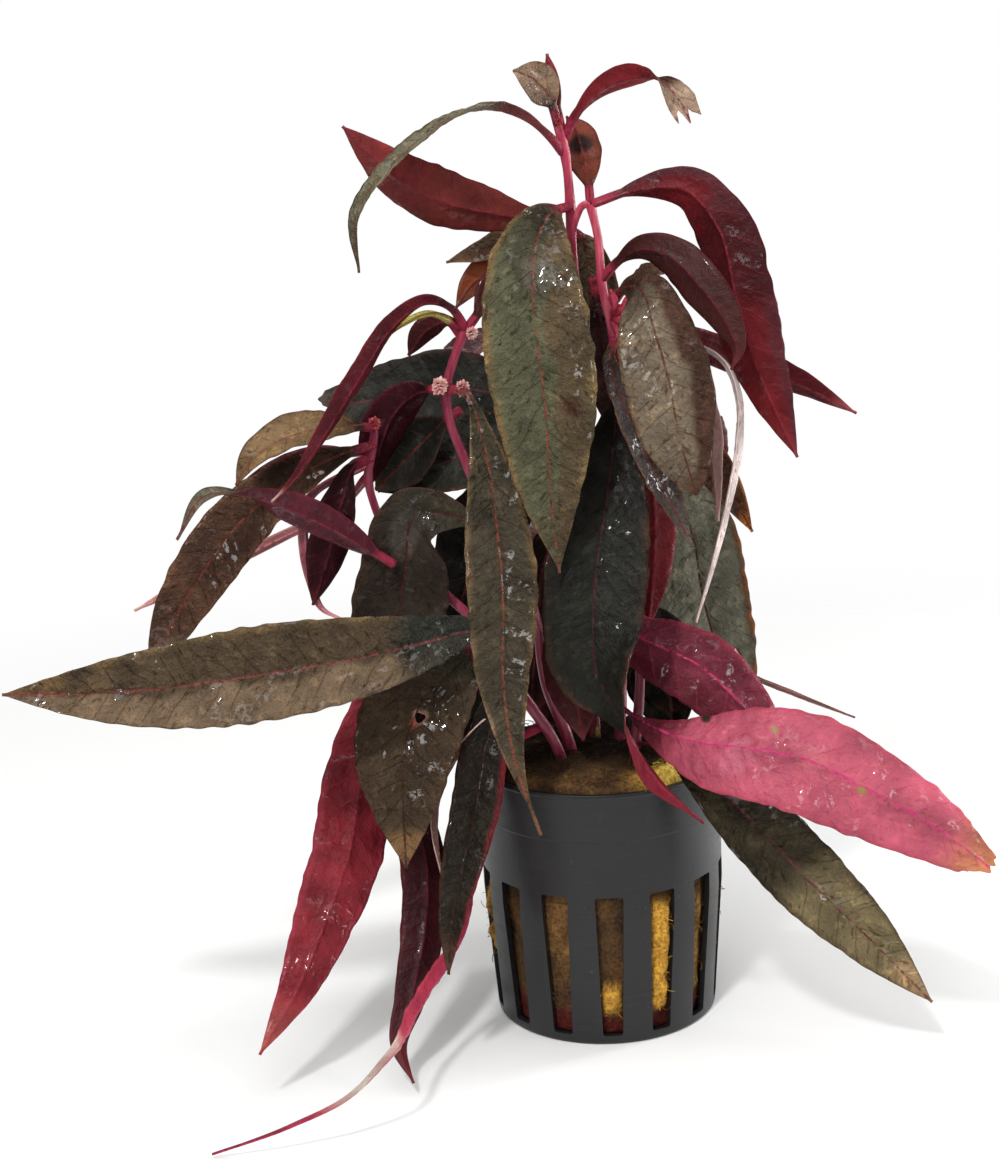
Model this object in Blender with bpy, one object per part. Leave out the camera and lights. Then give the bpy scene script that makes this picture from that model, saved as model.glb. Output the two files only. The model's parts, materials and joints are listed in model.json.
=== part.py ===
"""Potted sessile joyweed: a slotted net pot, a plug of growing wool, five cuttings and their leaves.

All sizes are in millimetres until an object is made. +X is right, +Y is away from the viewer and
+Z is up. The origin is the middle of the pot's flat foot, on the surface that the pot stands on.
"""

import math

import bmesh
import bpy
import numpy as np

MM = 0.001
CLEARANCE = 0.3

# Driving sizes of the net pot
POT_DIAMETER = 50.0
POT_FOOT_DIAMETER = 45.6
POT_HEIGHT = 54.0
POT_WALL = 1.2
POT_STRAIGHT_FROM = 27.5
POT_LEDGE_HEIGHT = 44.0
POT_LEDGE_STEP = 0.25
POT_LIP_HEIGHT = 1.0
POT_FOOT_ROUND = 0.8
POT_SIDES = 56

# Slots in the pot's side
SLOT_COUNT = 14
SLOT_BOTTOM = 2.0
SLOT_TOP = 32.4
SLOT_WIDTH_LOW = 4.0
SLOT_WIDTH_HIGH = 5.7

# Growing wool: its dome rises above the pot's rim
WOOL_CROWN = 57.5
WOOL_SHOULDER = 55.2
WOOL_SIDES = 40

# Leaf blades
MIDRIB_THICKNESS = 0.75
MARGIN_THICKNESS = 0.4
TIP_HALF_WIDTH = 0.35
PETIOLE_HALF_WIDTH = 0.9
BLADE_POWERS = (1.1, 1.0)
STATION_SPACING = 8.0
STEM_SPACE = 2.6
FACE_LIFT = 0.15
BACK_LEAF_FOLD = 12.0
BACK_LEAF_POINTS = 7
BACK_LEAF_SAG = 0.62
BACK_LEAF_PULL = 0.18

# Viewpoint that the plant's routes are drawn from
VIEW_X = -18.5
VIEW_Y = -420.0
VIEW_Z = 198.0
VIEW_PITCH = math.radians(14.3)
VIEW_ROLL = math.radians(-2.7)

COLOURS = {
    "black_plastic": (0.018, 0.019, 0.021),
    "ochre_wool": (0.36, 0.19, 0.045),
    "pink_stem": (0.47, 0.075, 0.10),
    "olive": (0.085, 0.080, 0.018),
    "dark_green": (0.035, 0.045, 0.016),
    "brown": (0.17, 0.085, 0.03),
    "crimson": (0.26, 0.012, 0.035),
    "magenta": (0.52, 0.035, 0.11),
    "maroon": (0.13, 0.010, 0.022),
    "pale_pink": (0.60, 0.30, 0.27),
}

# Stems: radius, and the route from the wool upwards as (across, up, front) on the drawing
STEMS = {
    "stem_main": (1.25, [
        (-1.5, 41.5, 0), (-3, 62.5, -2), (-4, 84, -3), (-5.5, 105, -2), (-6, 126, -1),
        (-6.5, 147, 0), (-7.5, 161, 0), (-8, 170.5, 1), (-9, 179, 2), (-10.5, 185, 3)]),
    "stem_right": (1.2, [
        (2, 41.5, 0), (3, 65, 1), (3, 84, 2), (2.5, 115.5, 3), (1.5, 139, 4),
        (-1, 150.5, 4), (-2, 161, 3), (-3.5, 167.5, 3)]),
    "stem_left": (1.3, [
        (-5, 41.5, 3), (-9, 56.5, 7), (-12.5, 65, 8), (-15, 79.5, 8), (-20.5, 94.5, 9),
        (-27, 106, 9), (-30.5, 114.5, 9), (-33, 121, 9), (-34, 128, 9), (-32.5, 134.5, 9), (-30, 141, 9)]),
    "stem_far_left": (1.15, [
        (-7, 41.5, 8), (-11.5, 54.5, 11), (-17, 62.5, 12), (-24.5, 75.5, 10), (-35.5, 86, 8),
        (-44, 92, 6), (-48, 100.5, 5), (-50.5, 110, 5), (-49.5, 116.5, 5), (-49, 121, 5)]),
    "stem_low_right": (1.1, [
        (4.5, 41.5, 5), (5.5, 50, 7), (6.5, 58.5, 7), (7, 67, 7), (6.5, 77.5, 7)]),
}

# Leaves as they are drawn: colour, width, fold, and the midrib as (across, up, front, turn).
# A turn of 0 shows the upper face, 90 the edge and 180 the underside.
LEAVES = {
    "leaf_crown_up": ("brown", 7.5, 10, [
        (-10.5, 184.5, 3, 20), (-11.5, 188, 4, 20), (-13.2, 191.5, 6, 15), (-16, 194.2, 8, 10),
        (-19.8, 195.8, 10, 5)]),
    "leaf_crown_strip": ("crimson", 3.2, 6, [
        (-9.6, 182.5, 2.4, 150), (-10.7, 188, 2.4, 150), (-11.8, 194, 2.4, 150), (-12.7, 199.4, 2.4, 150)]),
    "leaf_crown_right": ("crimson", 6.8, 8, [
        (-9, 181.5, 2, -165), (-6.2, 187, 4, -150), (-1.8, 191.6, 6, -140), (5, 194.4, 9, -130),
        (10.8, 194.2, 11, -80), (15.3, 189.3, 13, -25), (19.2, 182.3, 14, -10)]),
    "leaf_crown_left": ("olive", 7.3, 8, [
        (-9.5, 178.5, 2, 130), (-11.4, 181, 4, 125), (-17.2, 185.8, 7, 118), (-24.5, 188, 10, 100),
        (-31, 187, 13, 75), (-38.5, 181.8, 15, 65), (-47.2, 174.3, 17, 62), (-53.1, 165, 18, 60),
        (-52.5, 153, 18, 60)]),
    "leaf_crown_back": ("maroon", 7.5, 12, [
        (-3.5, 167.5, 3, 180), (-4, 173, -1, 180), (-5, 178, -6, 175), (-6.5, 183, -12, 170),
        (-8.5, 186, -18, 170)]),
    "leaf_upper_left": ("crimson", 11.5, 14, [
        (-8, 167, 1, 150), (-15, 165, 3, 155), (-24.5, 165.8, 6, 155), (-35.5, 168.5, 9, 153),
        (-46, 174.3, 11, 150), (-56, 184, 12, 150)]),
    "leaf_front_broad": ("olive", 20.5, 9, [
        (-8, 167, 1, 0), (-12, 165.5, 8, 0), (-15.5, 156.5, 17, 0), (-15, 141, 23, 0),
        (-13, 124, 26, 0), (-12, 107, 27, 0), (-10, 89.5, 26, 0)]),
    "leaf_behind_broad": ("brown", 11.5, 8, [
        (-7.5, 162, 0, 10), (-5.5, 160.5, -3, 10), (-4, 154, -4.5, 8), (-3.5, 147, -4.5, 5),
        (-3, 140, -4, 0)]),
    "leaf_arch_right": ("crimson", 14, 14, [
        (-3, 167.5, 3, -150), (7, 170.8, 5, -150), (17, 170.5, 8, -152), (23.5, 163, 10, -153),
        (27.3, 148.7, 12, -155), (30.6, 136.5, 13, -157), (35.2, 125, 14, -157),
        (40.3, 114, 14, -157)]),
    "leaf_arch_small": ("maroon", 8.8, 12, [
        (-1, 151.5, 4, -150), (2.5, 155.5, 6, -150), (7.5, 158.1, 10, -155),
        (13.5, 156.4, 14, -158), (19.7, 150.3, 18, -158), (25.5, 142, 21, -155),
        (27.5, 136.5, 22, -140), (26.3, 132.5, 22, -120)]),
    "leaf_right_broad": ("brown", 17, -12, [
        (1.5, 147, 4, 0), (4, 150, 9, 0), (7.5, 149, 15, 0), (10, 141, 20, 0),
        (13, 130.5, 23, 0), (15.5, 117.5, 25, 0), (19, 106, 25, 0)]),
    "leaf_edge_right": ("pale_pink", 6, 5, [
        (1.5, 137, 4, -60), (10, 138.5, 7, -70), (18.5, 138, 11, -80), (24.5, 134.5, 14, -82),
        (27.7, 127, 16, -80), (27.7, 117.5, 17, -78), (25, 102, 18, -80), (21.5, 88, 18, -80),
        (19, 79, 18, -80)]),
    "leaf_point_right": ("crimson", 7.5, 12, [
        (1.5, 135, 3, -150), (11, 140.5, -4, -150), (20.5, 137.3, -9, -150), (29, 134, -11, -148),
        (38.5, 130.5, -12, -145), (52.8, 123.3, -12, -145)]),
    "leaf_pale_right": ("pale_pink", 6.3, 6, [
        (2, 130.5, 3, -130), (11, 135, -1, -130), (18, 131.5, -3, -125), (21.5, 123, -4, -122),
        (22.8, 111.5, -4, -122), (23.6, 100.5, -4, -120)]),
    "leaf_dark_right": ("dark_green", 20, 10, [
        (3, 84, 2, 0), (7.5, 97, -7, 5), (13.3, 106, -12, 8), (17.4, 99.3, -15, 8),
        (20.4, 84, -16, 8), (25.1, 67, -17, 8), (29.3, 51.5, -18, 8)]),
    "leaf_magenta_mid": ("magenta", 15.5, 10, [
        (-4.5, 88, -2, 172), (-0.5, 81.5, 4, 172), (6, 76.2, 9, 172), (12.5, 73.2, 12, 172),
        (20, 69.5, 15, 172), (28, 62, 17, 172), (34.5, 55, 18, 172), (39, 49, 18, 172)]),
    "leaf_magenta_big": ("magenta", 20, 10, [
        (2.8, 61.5, 1, 172), (6.5, 58.5, 12, 172), (12.5, 55.5, 22, 172), (20.5, 53.2, 30, 172),
        (31.5, 52, 37, 172), (43, 49.6, 41, 172), (54.5, 44, 44, 172), (69.5, 35.6, 46, 172),
        (81.5, 26.8, 47, 172)]),
    "leaf_low_right": ("dark_green", 14.8, 8, [
        (6.5, 53.5, 7, 0), (12, 52.5, 15, 0), (20.1, 46.8, 26, 0), (30.6, 37.2, 29, 0),
        (41.9, 25.2, 31, 0), (54.8, 12.8, 32, 0), (68.8, -1.3, 33, 0)]),
    "leaf_mid_long": ("olive", 13.5, 9, [
        (-34, 128, 9, 0), (-30.5, 128, 13, 0), (-26, 116.5, 20, 0), (-23.5, 100.5, 25, 0),
        (-22, 84, 29, 0), (-22, 67, 32, 0), (-19.5, 50, 35, 0), (-14, 34, 37, 0)]),
    "leaf_mid_dark": ("dark_green", 20, 8, [
        (1.5, 130.5, 4, 0), (2, 126, 11, 0), (0.5, 109, 17, 0), (-2, 92, 23, 0), (-3, 79.5, 27, 0),
        (-2, 68, 30, 30), (3, 58.5, 33, 80), (10, 46, 35, 125), (20.5, 36.5, 37, 130)]),
    "leaf_red_sliver": ("crimson", 9, 6, [
        (2, 126, 3, 170), (7, 119.5, 2, 170), (10, 105, 1, 170), (10, 92, 0, 170), (8.5, 77, 0, 170)]),
    "leaf_glint_narrow": ("brown", 9, 14, [
        (1.5, 139, 4, -30), (0.5, 134, 12, -35), (4, 124, 17, -40), (9, 112.5, 20, -40),
        (14.5, 102, 21, -40), (18, 95, 21, -40)]),
    "leaf_low_centre": ("maroon", 12, 10, [
        (-7.5, 84, -2, 180), (-8, 78.5, 10, 180), (-7, 67, 16, 180), (-5, 54, 18, 180)]),
    "leaf_arch_left": ("crimson", 6, 8, [
        (-30, 141, 9, 125), (-33, 145.5, 13, 125), (-38.5, 147, 17, 122), (-45, 142.5, 20, 122),
        (-52, 132, 23, 122), (-59.5, 119.5, 25, 118), (-67, 108.5, 28, 110), (-71, 104.5, 29, 105)]),
    "leaf_droop_brown": ("brown", 12.3, 10, [
        (-49.5, 116.5, 5, 0), (-55.5, 114.8, 11, 0), (-65.3, 110, 13, 0), (-76, 101.8, 14, 0),
        (-85, 90.5, 15, 0), (-92.3, 78, 15, 0), (-96.5, 65.5, 14, 0)]),
    "leaf_short_brown": ("brown", 10, 12, [
        (-49, 120, 5, 35), (-55.5, 120.5, 12, 40), (-63, 119.5, 16, 40), (-70, 117, 19, 40),
        (-75.5, 113, 21, 40), (-78.5, 108, 22, 40)]),
    "leaf_under_left": ("maroon", 7.5, 8, [
        (-49.5, 115.5, 5, 160), (-58.5, 114, 2, 155), (-69, 110, 1, 150), (-79.5, 106, 1, 150)]),
    "leaf_tip_curl": ("crimson", 7.5, 10, [
        (-45, 91.2, 13.5, 150), (-50.5, 94.5, 14.5, 148), (-56.5, 98, 17, 145),
        (-67, 103, 21, 140), (-76, 106, 24, 95), (-85, 105.7, 26, 40), (-91, 96.5, 26, 30)]),
    "leaf_long_left": ("olive", 18.3, 9, [
        (-21, 71, 11, 0), (-29, 77, 17, 0), (-37.5, 75, 22, 0), (-48, 72.5, 26, 0),
        (-60.5, 70, 30, 0), (-77.5, 67.3, 34, 0), (-96.5, 64.8, 37, 0), (-113.5, 63.9, 39, 0),
        (-128, 63.7, 40, 0)]),
    "leaf_red_hang": ("magenta", 15, 10, [
        (-35.5, 86, 8, 170), (-41, 75.5, 0, 168), (-47.5, 62.5, 1.5, 166),
        (-52.3, 45.5, 10, 165), (-54.4, 31, 20, 165), (-59.4, 16.5, 29, 165),
        (-65, 2.5, 36, 165), (-73.5, -12.5, 43, 165)]),
    "leaf_holed": ("olive", 21, 8, [
        (-24.5, 75.5, 10, 0), (-32, 69.5, 13, 0), (-39.5, 61.5, 17, 0), (-43, 50.5, 21, 0),
        (-43, 40.5, 24, 0), (-42.5, 27, 26, 0)]),
    "leaf_dark_down": ("dark_green", 10, 10, [
        (-16.5, 61.5, 11, 0), (-21.5, 63.5, 14, 0), (-25.1, 55, 18, 0), (-27.7, 39.5, 22.5, 5),
        (-31.2, 24.5, 30, 10), (-33, 14, 34, 10), (-33.5, 4.5, 35, 10)]),
    "leaf_crimson_down": ("crimson", 10, 12, [
        (-20.5, 68, 11, 170), (-30.4, 62.5, 12, 165), (-38.4, 53.5, 14, 163),
        (-40.9, 41.5, 16, 160), (-38.2, 26.5, 18.5, 160), (-38.6, 14, 23, 160),
        (-41.6, -1, 31, 160), (-43.9, -10.5, 36, 160), (-40.9, -18.5, 41, 160)]),
    "leaf_ribbon": ("magenta", 6, 8, [
        (-13, 57.5, 10, 120), (-19.5, 53.5, 13.5, 115), (-25, 43, 15.5, 112), (-28.5, 27, 20.5, 112),
        (-30, 15, 25, 110), (-33, 8.5, 28, 108), (-36.7, 3, 34, 112), (-41, -4.4, 43, 112),
        (-46.4, -13.4, 58, 108), (-54.5, -21.4, 60, 100), (-66.5, -27.5, 61, 110), (-83.5, -33.5, 61, 110)]),
    "leaf_hang_maroon": ("maroon", 9.2, 8, [
        (-50, 113.5, 5, 150), (-53.5, 112.5, 8, 150), (-56.2, 105, 10, 150), (-58, 97.5, 11, 152),
        (-60.3, 89, 12, 150), (-62.2, 82.7, 12, 150)]),
    "leaf_pale_back": ("pale_pink", 5.5, 6, [
        (-50.5, 110, 5, 150), (-57.5, 102.5, -4, 150), (-68, 97.5, -6, 150), (-82, 90.5, -5, 150),
        (-93.5, 84.8, -4, 150), (-100, 81.5, -3, 150)]),
    "leaf_dark_back_left": ("dark_green", 16, 8, [
        (-6, 119.5, -1, 10), (-18.5, 126, -12, 10), (-31, 128.5, -15, 10), (-44, 127, -17, 12),
        (-54.5, 125.5, -18, 12), (-61, 125.5, -18, 12)]),
    "leaf_maroon_left": ("maroon", 10, 10, [
        (-34, 128, 9, 150), (-39.5, 128, 5, 150), (-45, 123.5, 2, 150), (-48, 116.5, 1, 150),
        (-50, 108, 1, 150)]),
    "leaf_dark_behind": ("dark_green", 18, 10, [
        (-6, 113, -2, 5), (-14, 112, -10, 5), (-22, 104, -13, 5), (-28, 92, -14, 5), (-32, 79, -14, 5),
        (-34, 68, -13, 5)]),
    "leaf_dark_blade": ("dark_green", 18.5, 10, [
        (-5.5, 105, -2, 20), (-18.5, 114, -3, 20), (-30, 114.3, -4, 25), (-39.5, 110.8, -5, 30),
        (-48.5, 106.7, -6, 30)]),
    "leaf_mid_left": ("olive", 19, 10, [
        (-24.5, 97.5, 9, 10), (-31.5, 101.5, 12, 10), (-40, 101.7, 12, 5), (-42.8, 90, 11, 0),
        (-44.2, 77.5, 9, 0), (-45, 64.5, 7.5, 0), (-45, 54, 6.5, 0)]),
    "leaf_brown_upper": ("brown", 7.2, 10, [
        (-6.5, 149.5, 0, 30), (-12.5, 159.3, -3, 30), (-18.5, 160.2, -4, 30), (-24.5, 157.8, -3, 32),
        (-34, 155.2, -2, 40)]),
    "leaf_rust_upper": ("maroon", 8.5, 10, [
        (-6.5, 147, 0, 150), (-12, 155.5, -5, 150), (-18.5, 156, -6, 150), (-23.5, 154, -5, 150),
        (-28.5, 150.5, -4, 150), (-32, 145.5, -3, 150)]),
    "leaf_side_left": ("maroon", 5, 8, [
        (-30.5, 139, 9, 150), (-34, 142.8, 7, 150), (-38, 141.2, 6, 150), (-42, 135.5, 5, 150)]),
    "leaf_deep_right": ("dark_green", 14, 8, [
        (3, 80, 1, 10), (7, 80, -4, 10), (11, 75.5, -8, 8), (13, 67.5, -9.5, 5), (14, 60, -10, 5)]),
    "leaf_deep_left": ("maroon", 11.5, 8, [
        (-5, 103, -3, 0), (-9, 101, -7, 0), (-13, 93, -9, 0), (-14.5, 81, -10, 0), (-15.5, 69, -9.5, 0),
        (-16, 60, -9, 0)]),
}

# Share of the blade's length that is torn off at the tip
TORN_TIPS = {"leaf_magenta_big": 0.13, "leaf_crown_right": 0.20, "leaf_dark_back_left": 0.08}

# Blades whose outline differs from the others: its two powers, the first for the stem's end
BLADE_SHAPES = {
    "leaf_magenta_big": (1.4, 1.45),
    "leaf_mid_long": (1.7, 2.0),
    "leaf_mid_dark": (1.3, 1.7),
    "leaf_right_broad": (0.95, 0.75),
    "leaf_front_broad": (1.0, 1.15),
    "leaf_holed": (0.8, 1.1),
    "leaf_tip_curl": (0.7, 1.1),
    "leaf_dark_down": (0.6, 0.9),
    "leaf_behind_broad": (0.8, 0.6),
    "leaf_deep_right": (0.8, 0.5),
    "leaf_deep_left": (0.8, 0.5),
}

# Leaves of the far side: colour, width, length, height at the stem, heading, rise and droop.
# A heading of 90 degrees points straight away from the viewer.
BACK_LEAVES = {
    "leaf_back_upper_right": ("brown", 13, 58, "stem_right", 147, 38, 0.45, 1.0),
    "leaf_back_upper_left": ("olive", 14, 60, "stem_main", 136, 128, 0.40, 1.1),
    "leaf_back_middle": ("dark_green", 16, 66, "stem_main", 128, 88, 0.40, 1.0),
    "leaf_back_middle_right": ("brown", 15, 64, "stem_right", 118, 62, 0.40, 1.1),
    "leaf_back_middle_left": ("crimson", 14, 60, "stem_main", 98, 96, 0.25, 1.0),
    "leaf_back_low_right": ("olive", 16, 68, "stem_right", 104, 94, 0.35, 1.0),
    "leaf_back_low": ("dark_green", 17, 72, "stem_main", 82, 84, 0.35, 1.2),
}


def clear_scene():
    """Remove whatever the file holds."""
    for old in list(bpy.data.objects):
        bpy.data.objects.remove(old)


def unit(vectors):
    """Scale each vector to a length of one."""
    return vectors / np.linalg.norm(vectors, axis=-1, keepdims=True)


def view_axes():
    """Give the viewpoint, the line of sight, and the drawing's right and up directions."""
    eye = np.array([VIEW_X, VIEW_Y, VIEW_Z])
    sight = np.array([0.0, math.cos(VIEW_PITCH), -math.sin(VIEW_PITCH)])
    level = np.array([1.0, 0.0, 0.0])
    upright = np.cross(level, sight)
    right = math.cos(VIEW_ROLL) * level + math.sin(VIEW_ROLL) * upright
    up = -math.sin(VIEW_ROLL) * level + math.cos(VIEW_ROLL) * upright
    return eye, sight, right, up


def from_drawing(across, up, front):
    """Find the point that is seen at a place on the drawing and lies front mm before the pot's axis."""
    eye, _, right_axis, up_axis = view_axes()
    on_drawing = across * right_axis + up * up_axis
    ray = on_drawing - eye
    return eye + ray * (-front - eye[1]) / ray[1]


def smooth_curve(points, samples_per_span=16):
    """Draw a smooth curve through the points: its samples, their distances along it, and the points' own."""
    points = np.array(points, dtype=float)
    chords = np.linalg.norm(np.diff(points, axis=0), axis=1)
    knots = np.concatenate([[0.0], np.cumsum(chords)])
    slopes = np.gradient(points, knots, axis=0)
    samples = [points[:1]]
    share = np.linspace(0, 1, samples_per_span + 1)[1:, None]
    for index, span in enumerate(chords):
        start_weight = 2 * share**3 - 3 * share**2 + 1
        start_pull = (share**3 - 2 * share**2 + share) * span
        end_pull = (share**3 - share**2) * span
        samples.append(start_weight * points[index] + (1 - start_weight) * points[index + 1]
                       + start_pull * slopes[index] + end_pull * slopes[index + 1])
    samples = np.concatenate(samples)
    steps = np.linalg.norm(np.diff(samples, axis=0), axis=1)
    distances = np.concatenate([[0.0], np.cumsum(steps)])
    return samples, distances, distances[::samples_per_span]


def along(distances, samples, wanted):
    """Read a sampled curve at the wanted distances."""
    return np.stack([np.interp(wanted, distances, samples[:, axis]) for axis in range(3)], axis=1)


def material(name, colour, roughness):
    """Make the piece's own plain material."""
    made = bpy.data.materials.new(name)
    made.use_nodes = True
    shader = made.node_tree.nodes["Principled BSDF"]
    shader.inputs["Base Color"].default_value = (*COLOURS[colour], 1.0)
    shader.inputs["Roughness"].default_value = roughness
    shader.inputs["Metallic"].default_value = 0.0
    return made


def add_object(name, data, place, holder, colour, roughness):
    """Put a mesh or a curve in the scene at its place, in millimetres, held by an empty."""
    piece = bpy.data.objects.new(name, data)
    bpy.context.scene.collection.objects.link(piece)
    piece.location = [value * MM for value in place]
    piece.parent = holder
    data.materials.append(material(name, colour, roughness))
    return piece


def add_empty(name, place):
    """Add a holder that carries the pieces of one group."""
    holder = bpy.data.objects.new(name, None)
    bpy.context.scene.collection.objects.link(holder)
    holder.location = [value * MM for value in place]
    return holder


def turned_mesh(name, outline, sides):
    """Spin an outline of (radius, height) points about +Z into a closed solid."""
    mesh = bpy.data.meshes.new(name)
    shape = bmesh.new()
    corners = [shape.verts.new((radius * MM, 0, height * MM)) for radius, height in outline]
    edges = [shape.edges.new(pair) for pair in zip(corners, corners[1:])]
    bmesh.ops.spin(shape, geom=corners + edges, cent=(0, 0, 0), axis=(0, 0, 1),
                   angle=math.tau, steps=sides, use_merge=True)
    bmesh.ops.remove_doubles(shape, verts=shape.verts, dist=CLEARANCE * MM / 100)
    bmesh.ops.recalc_face_normals(shape, faces=shape.faces)
    shape.to_mesh(mesh)
    shape.free()
    return mesh


def cut(piece, cutter):
    """Cut one piece with a hidden cutter."""
    cutter.hide_render = True
    cutter.display_type = "WIRE"
    difference = piece.modifiers.new(cutter.name, "BOOLEAN")
    difference.operation = "DIFFERENCE"
    difference.solver = "EXACT"
    difference.object = cutter


def pot_radius(height):
    """Outer radius of the pot's side: it widens from the foot and is straight from half height up."""
    foot = POT_FOOT_DIAMETER / 2
    straight = POT_DIAMETER / 2 - POT_LEDGE_STEP
    return foot + (straight - foot) * min(1.0, height / POT_STRAIGHT_FROM)


def slot_cutters(holder):
    """Make one cutter of tapered blocks, one for each slot, the first of them at the front."""
    mesh = bpy.data.meshes.new("slot_cutter")
    shape = bmesh.new()
    inner = pot_radius(0) - 2 * POT_WALL - 1
    outer = POT_DIAMETER / 2 + 2
    for index in range(SLOT_COUNT):
        angle = -math.pi / 2 + index * math.tau / SLOT_COUNT
        outward = np.array([math.cos(angle), math.sin(angle), 0])
        sideways = np.array([-math.sin(angle), math.cos(angle), 0])
        ends = []
        for height, width in ((SLOT_BOTTOM, SLOT_WIDTH_LOW), (SLOT_TOP, SLOT_WIDTH_HIGH)):
            ring = []
            for radius, side in ((inner, -1), (outer, -1), (outer, 1), (inner, 1)):
                corner = outward * radius + sideways * side * width / 2
                ring.append(shape.verts.new((corner[0] * MM, corner[1] * MM, height * MM)))
            ends.append(ring)
        shape.faces.new(ends[0][::-1])
        shape.faces.new(ends[1])
        for corner in range(4):
            following = (corner + 1) % 4
            shape.faces.new((ends[0][corner], ends[0][following], ends[1][following], ends[1][corner]))
    bmesh.ops.recalc_face_normals(shape, faces=shape.faces)
    shape.to_mesh(mesh)
    shape.free()
    return add_object("slot_cutter", mesh, (0, 0, 0), holder, "black_plastic", 0.5)


def make_pot(holder):
    """Model the net pot: a cup with a flat foot, a shallow ledge, a thin lip and slotted sides."""
    top = POT_DIAMETER / 2
    rim = POT_HEIGHT - POT_LIP_HEIGHT
    outline = [
        (0, 0), (pot_radius(0) - POT_FOOT_ROUND, 0), (pot_radius(0), POT_FOOT_ROUND),
        (pot_radius(POT_STRAIGHT_FROM), POT_STRAIGHT_FROM),
        (pot_radius(POT_LEDGE_HEIGHT), POT_LEDGE_HEIGHT), (top, POT_LEDGE_HEIGHT + POT_LEDGE_STEP),
        (top, rim), (top + POT_LEDGE_STEP, rim + POT_LEDGE_STEP), (top + POT_LEDGE_STEP, POT_HEIGHT),
        (top - POT_WALL, POT_HEIGHT),
        (pot_radius(POT_STRAIGHT_FROM) - POT_WALL, POT_LEDGE_HEIGHT),
        (pot_radius(POT_STRAIGHT_FROM) - POT_WALL, POT_STRAIGHT_FROM),
        (pot_radius(POT_WALL) - POT_WALL, POT_WALL), (0, POT_WALL)]
    pot = add_object("pot", turned_mesh("pot", outline, POT_SIDES), (0, 0, 0), holder, "black_plastic", 0.4)
    cut(pot, slot_cutters(holder))
    pot.data.shade_smooth()
    pot.data.set_sharp_from_angle(angle=math.radians(30))
    return pot


def make_wool(holder, stems):
    """Model the plug of growing wool inside the pot, with a bore for each stem."""
    gap = POT_WALL + CLEARANCE
    low = POT_WALL + CLEARANCE
    outline = [
        (0, low), (pot_radius(low) - gap, low), (pot_radius(POT_STRAIGHT_FROM) - gap, POT_STRAIGHT_FROM),
        (pot_radius(POT_HEIGHT) - gap, POT_HEIGHT), (21.5, WOOL_SHOULDER), (14, WOOL_CROWN - 0.7),
        (0, WOOL_CROWN)]
    wool = add_object("wool", turned_mesh("wool", outline, WOOL_SIDES), (0, 0, 0), holder, "ochre_wool", 0.95)
    for stem in stems:
        cut(wool, stem_bore(stem, holder))
    wool.data.shade_smooth()
    wool.data.set_sharp_from_angle(angle=math.radians(40))
    return wool


def stem_curve(name, radius, points, place):
    """Lay a round tube along the points, relative to its place."""
    curve = bpy.data.curves.new(name, "CURVE")
    curve.dimensions = "3D"
    curve.bevel_depth = radius * MM
    curve.bevel_resolution = 2
    curve.use_fill_caps = True
    spline = curve.splines.new("POLY")
    spline.points.add(len(points) - 1)
    for target, point in zip(spline.points, (points - place) * MM):
        target.co = (*point, 1.0)
    return curve


def stem_points(name):
    """Read evenly spaced points from the smooth curve through a stem's route."""
    _, route = STEMS[name]
    samples, distances, _ = smooth_curve([from_drawing(*point) for point in route])
    count = int(distances[-1] // STATION_SPACING) + 2
    return along(distances, samples, np.linspace(0, distances[-1], count))


def make_stem(name, holder):
    """Model one cutting's stem."""
    points = stem_points(name)
    curve = stem_curve(name, STEMS[name][0], points, points[0])
    return add_object(name, curve, points[0], holder, "pink_stem", 0.35)


def stem_bore(stem, holder):
    """Make the cutter for the hole that a stem stands in."""
    points = stem_points(stem.name)
    buried = np.concatenate([[points[0] - (points[1] - points[0]) * 0.1], points[:4]])
    curve = stem_curve("bore", STEMS[stem.name][0] + CLEARANCE, buried, buried[0])
    guide = bpy.data.objects.new("bore_guide", curve)
    bpy.context.scene.collection.objects.link(guide)
    mesh = bpy.data.meshes.new_from_object(guide.evaluated_get(bpy.context.evaluated_depsgraph_get()))
    bpy.data.objects.remove(guide)
    return add_object(stem.name + "_bore", mesh, buried[0], holder, "ochre_wool", 0.95)


def blade_half_widths(shares, width, powers):
    """Half the width of a joyweed leaf along its length: a short petiole, a long blade and a fine tip."""
    base_power, tip_power = powers
    widest = base_power / (base_power + tip_power)
    outline = shares**base_power * (1 - shares)**tip_power
    peak = widest**base_power * (1 - widest)**tip_power
    slim = np.interp(shares, [0, 1], [PETIOLE_HALF_WIDTH, TIP_HALF_WIDTH])
    return np.maximum(outline / peak * width / 2, slim)


def clear_of_stems(samples, distances):
    """Find how far along a leaf's route the leaf is clear of the stems it grows between."""
    base = distances <= distances[-1] / 3
    nearest = np.full(base.sum(), np.inf)
    for name in STEMS:
        centres, _, _ = smooth_curve([from_drawing(*point) for point in STEMS[name][1]])
        gaps = np.linalg.norm(samples[base][:, None] - centres[None], axis=2).min(axis=1)
        nearest = np.minimum(nearest, gaps)
    return distances[base][nearest < STEM_SPACE].max(initial=0.0)


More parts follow.
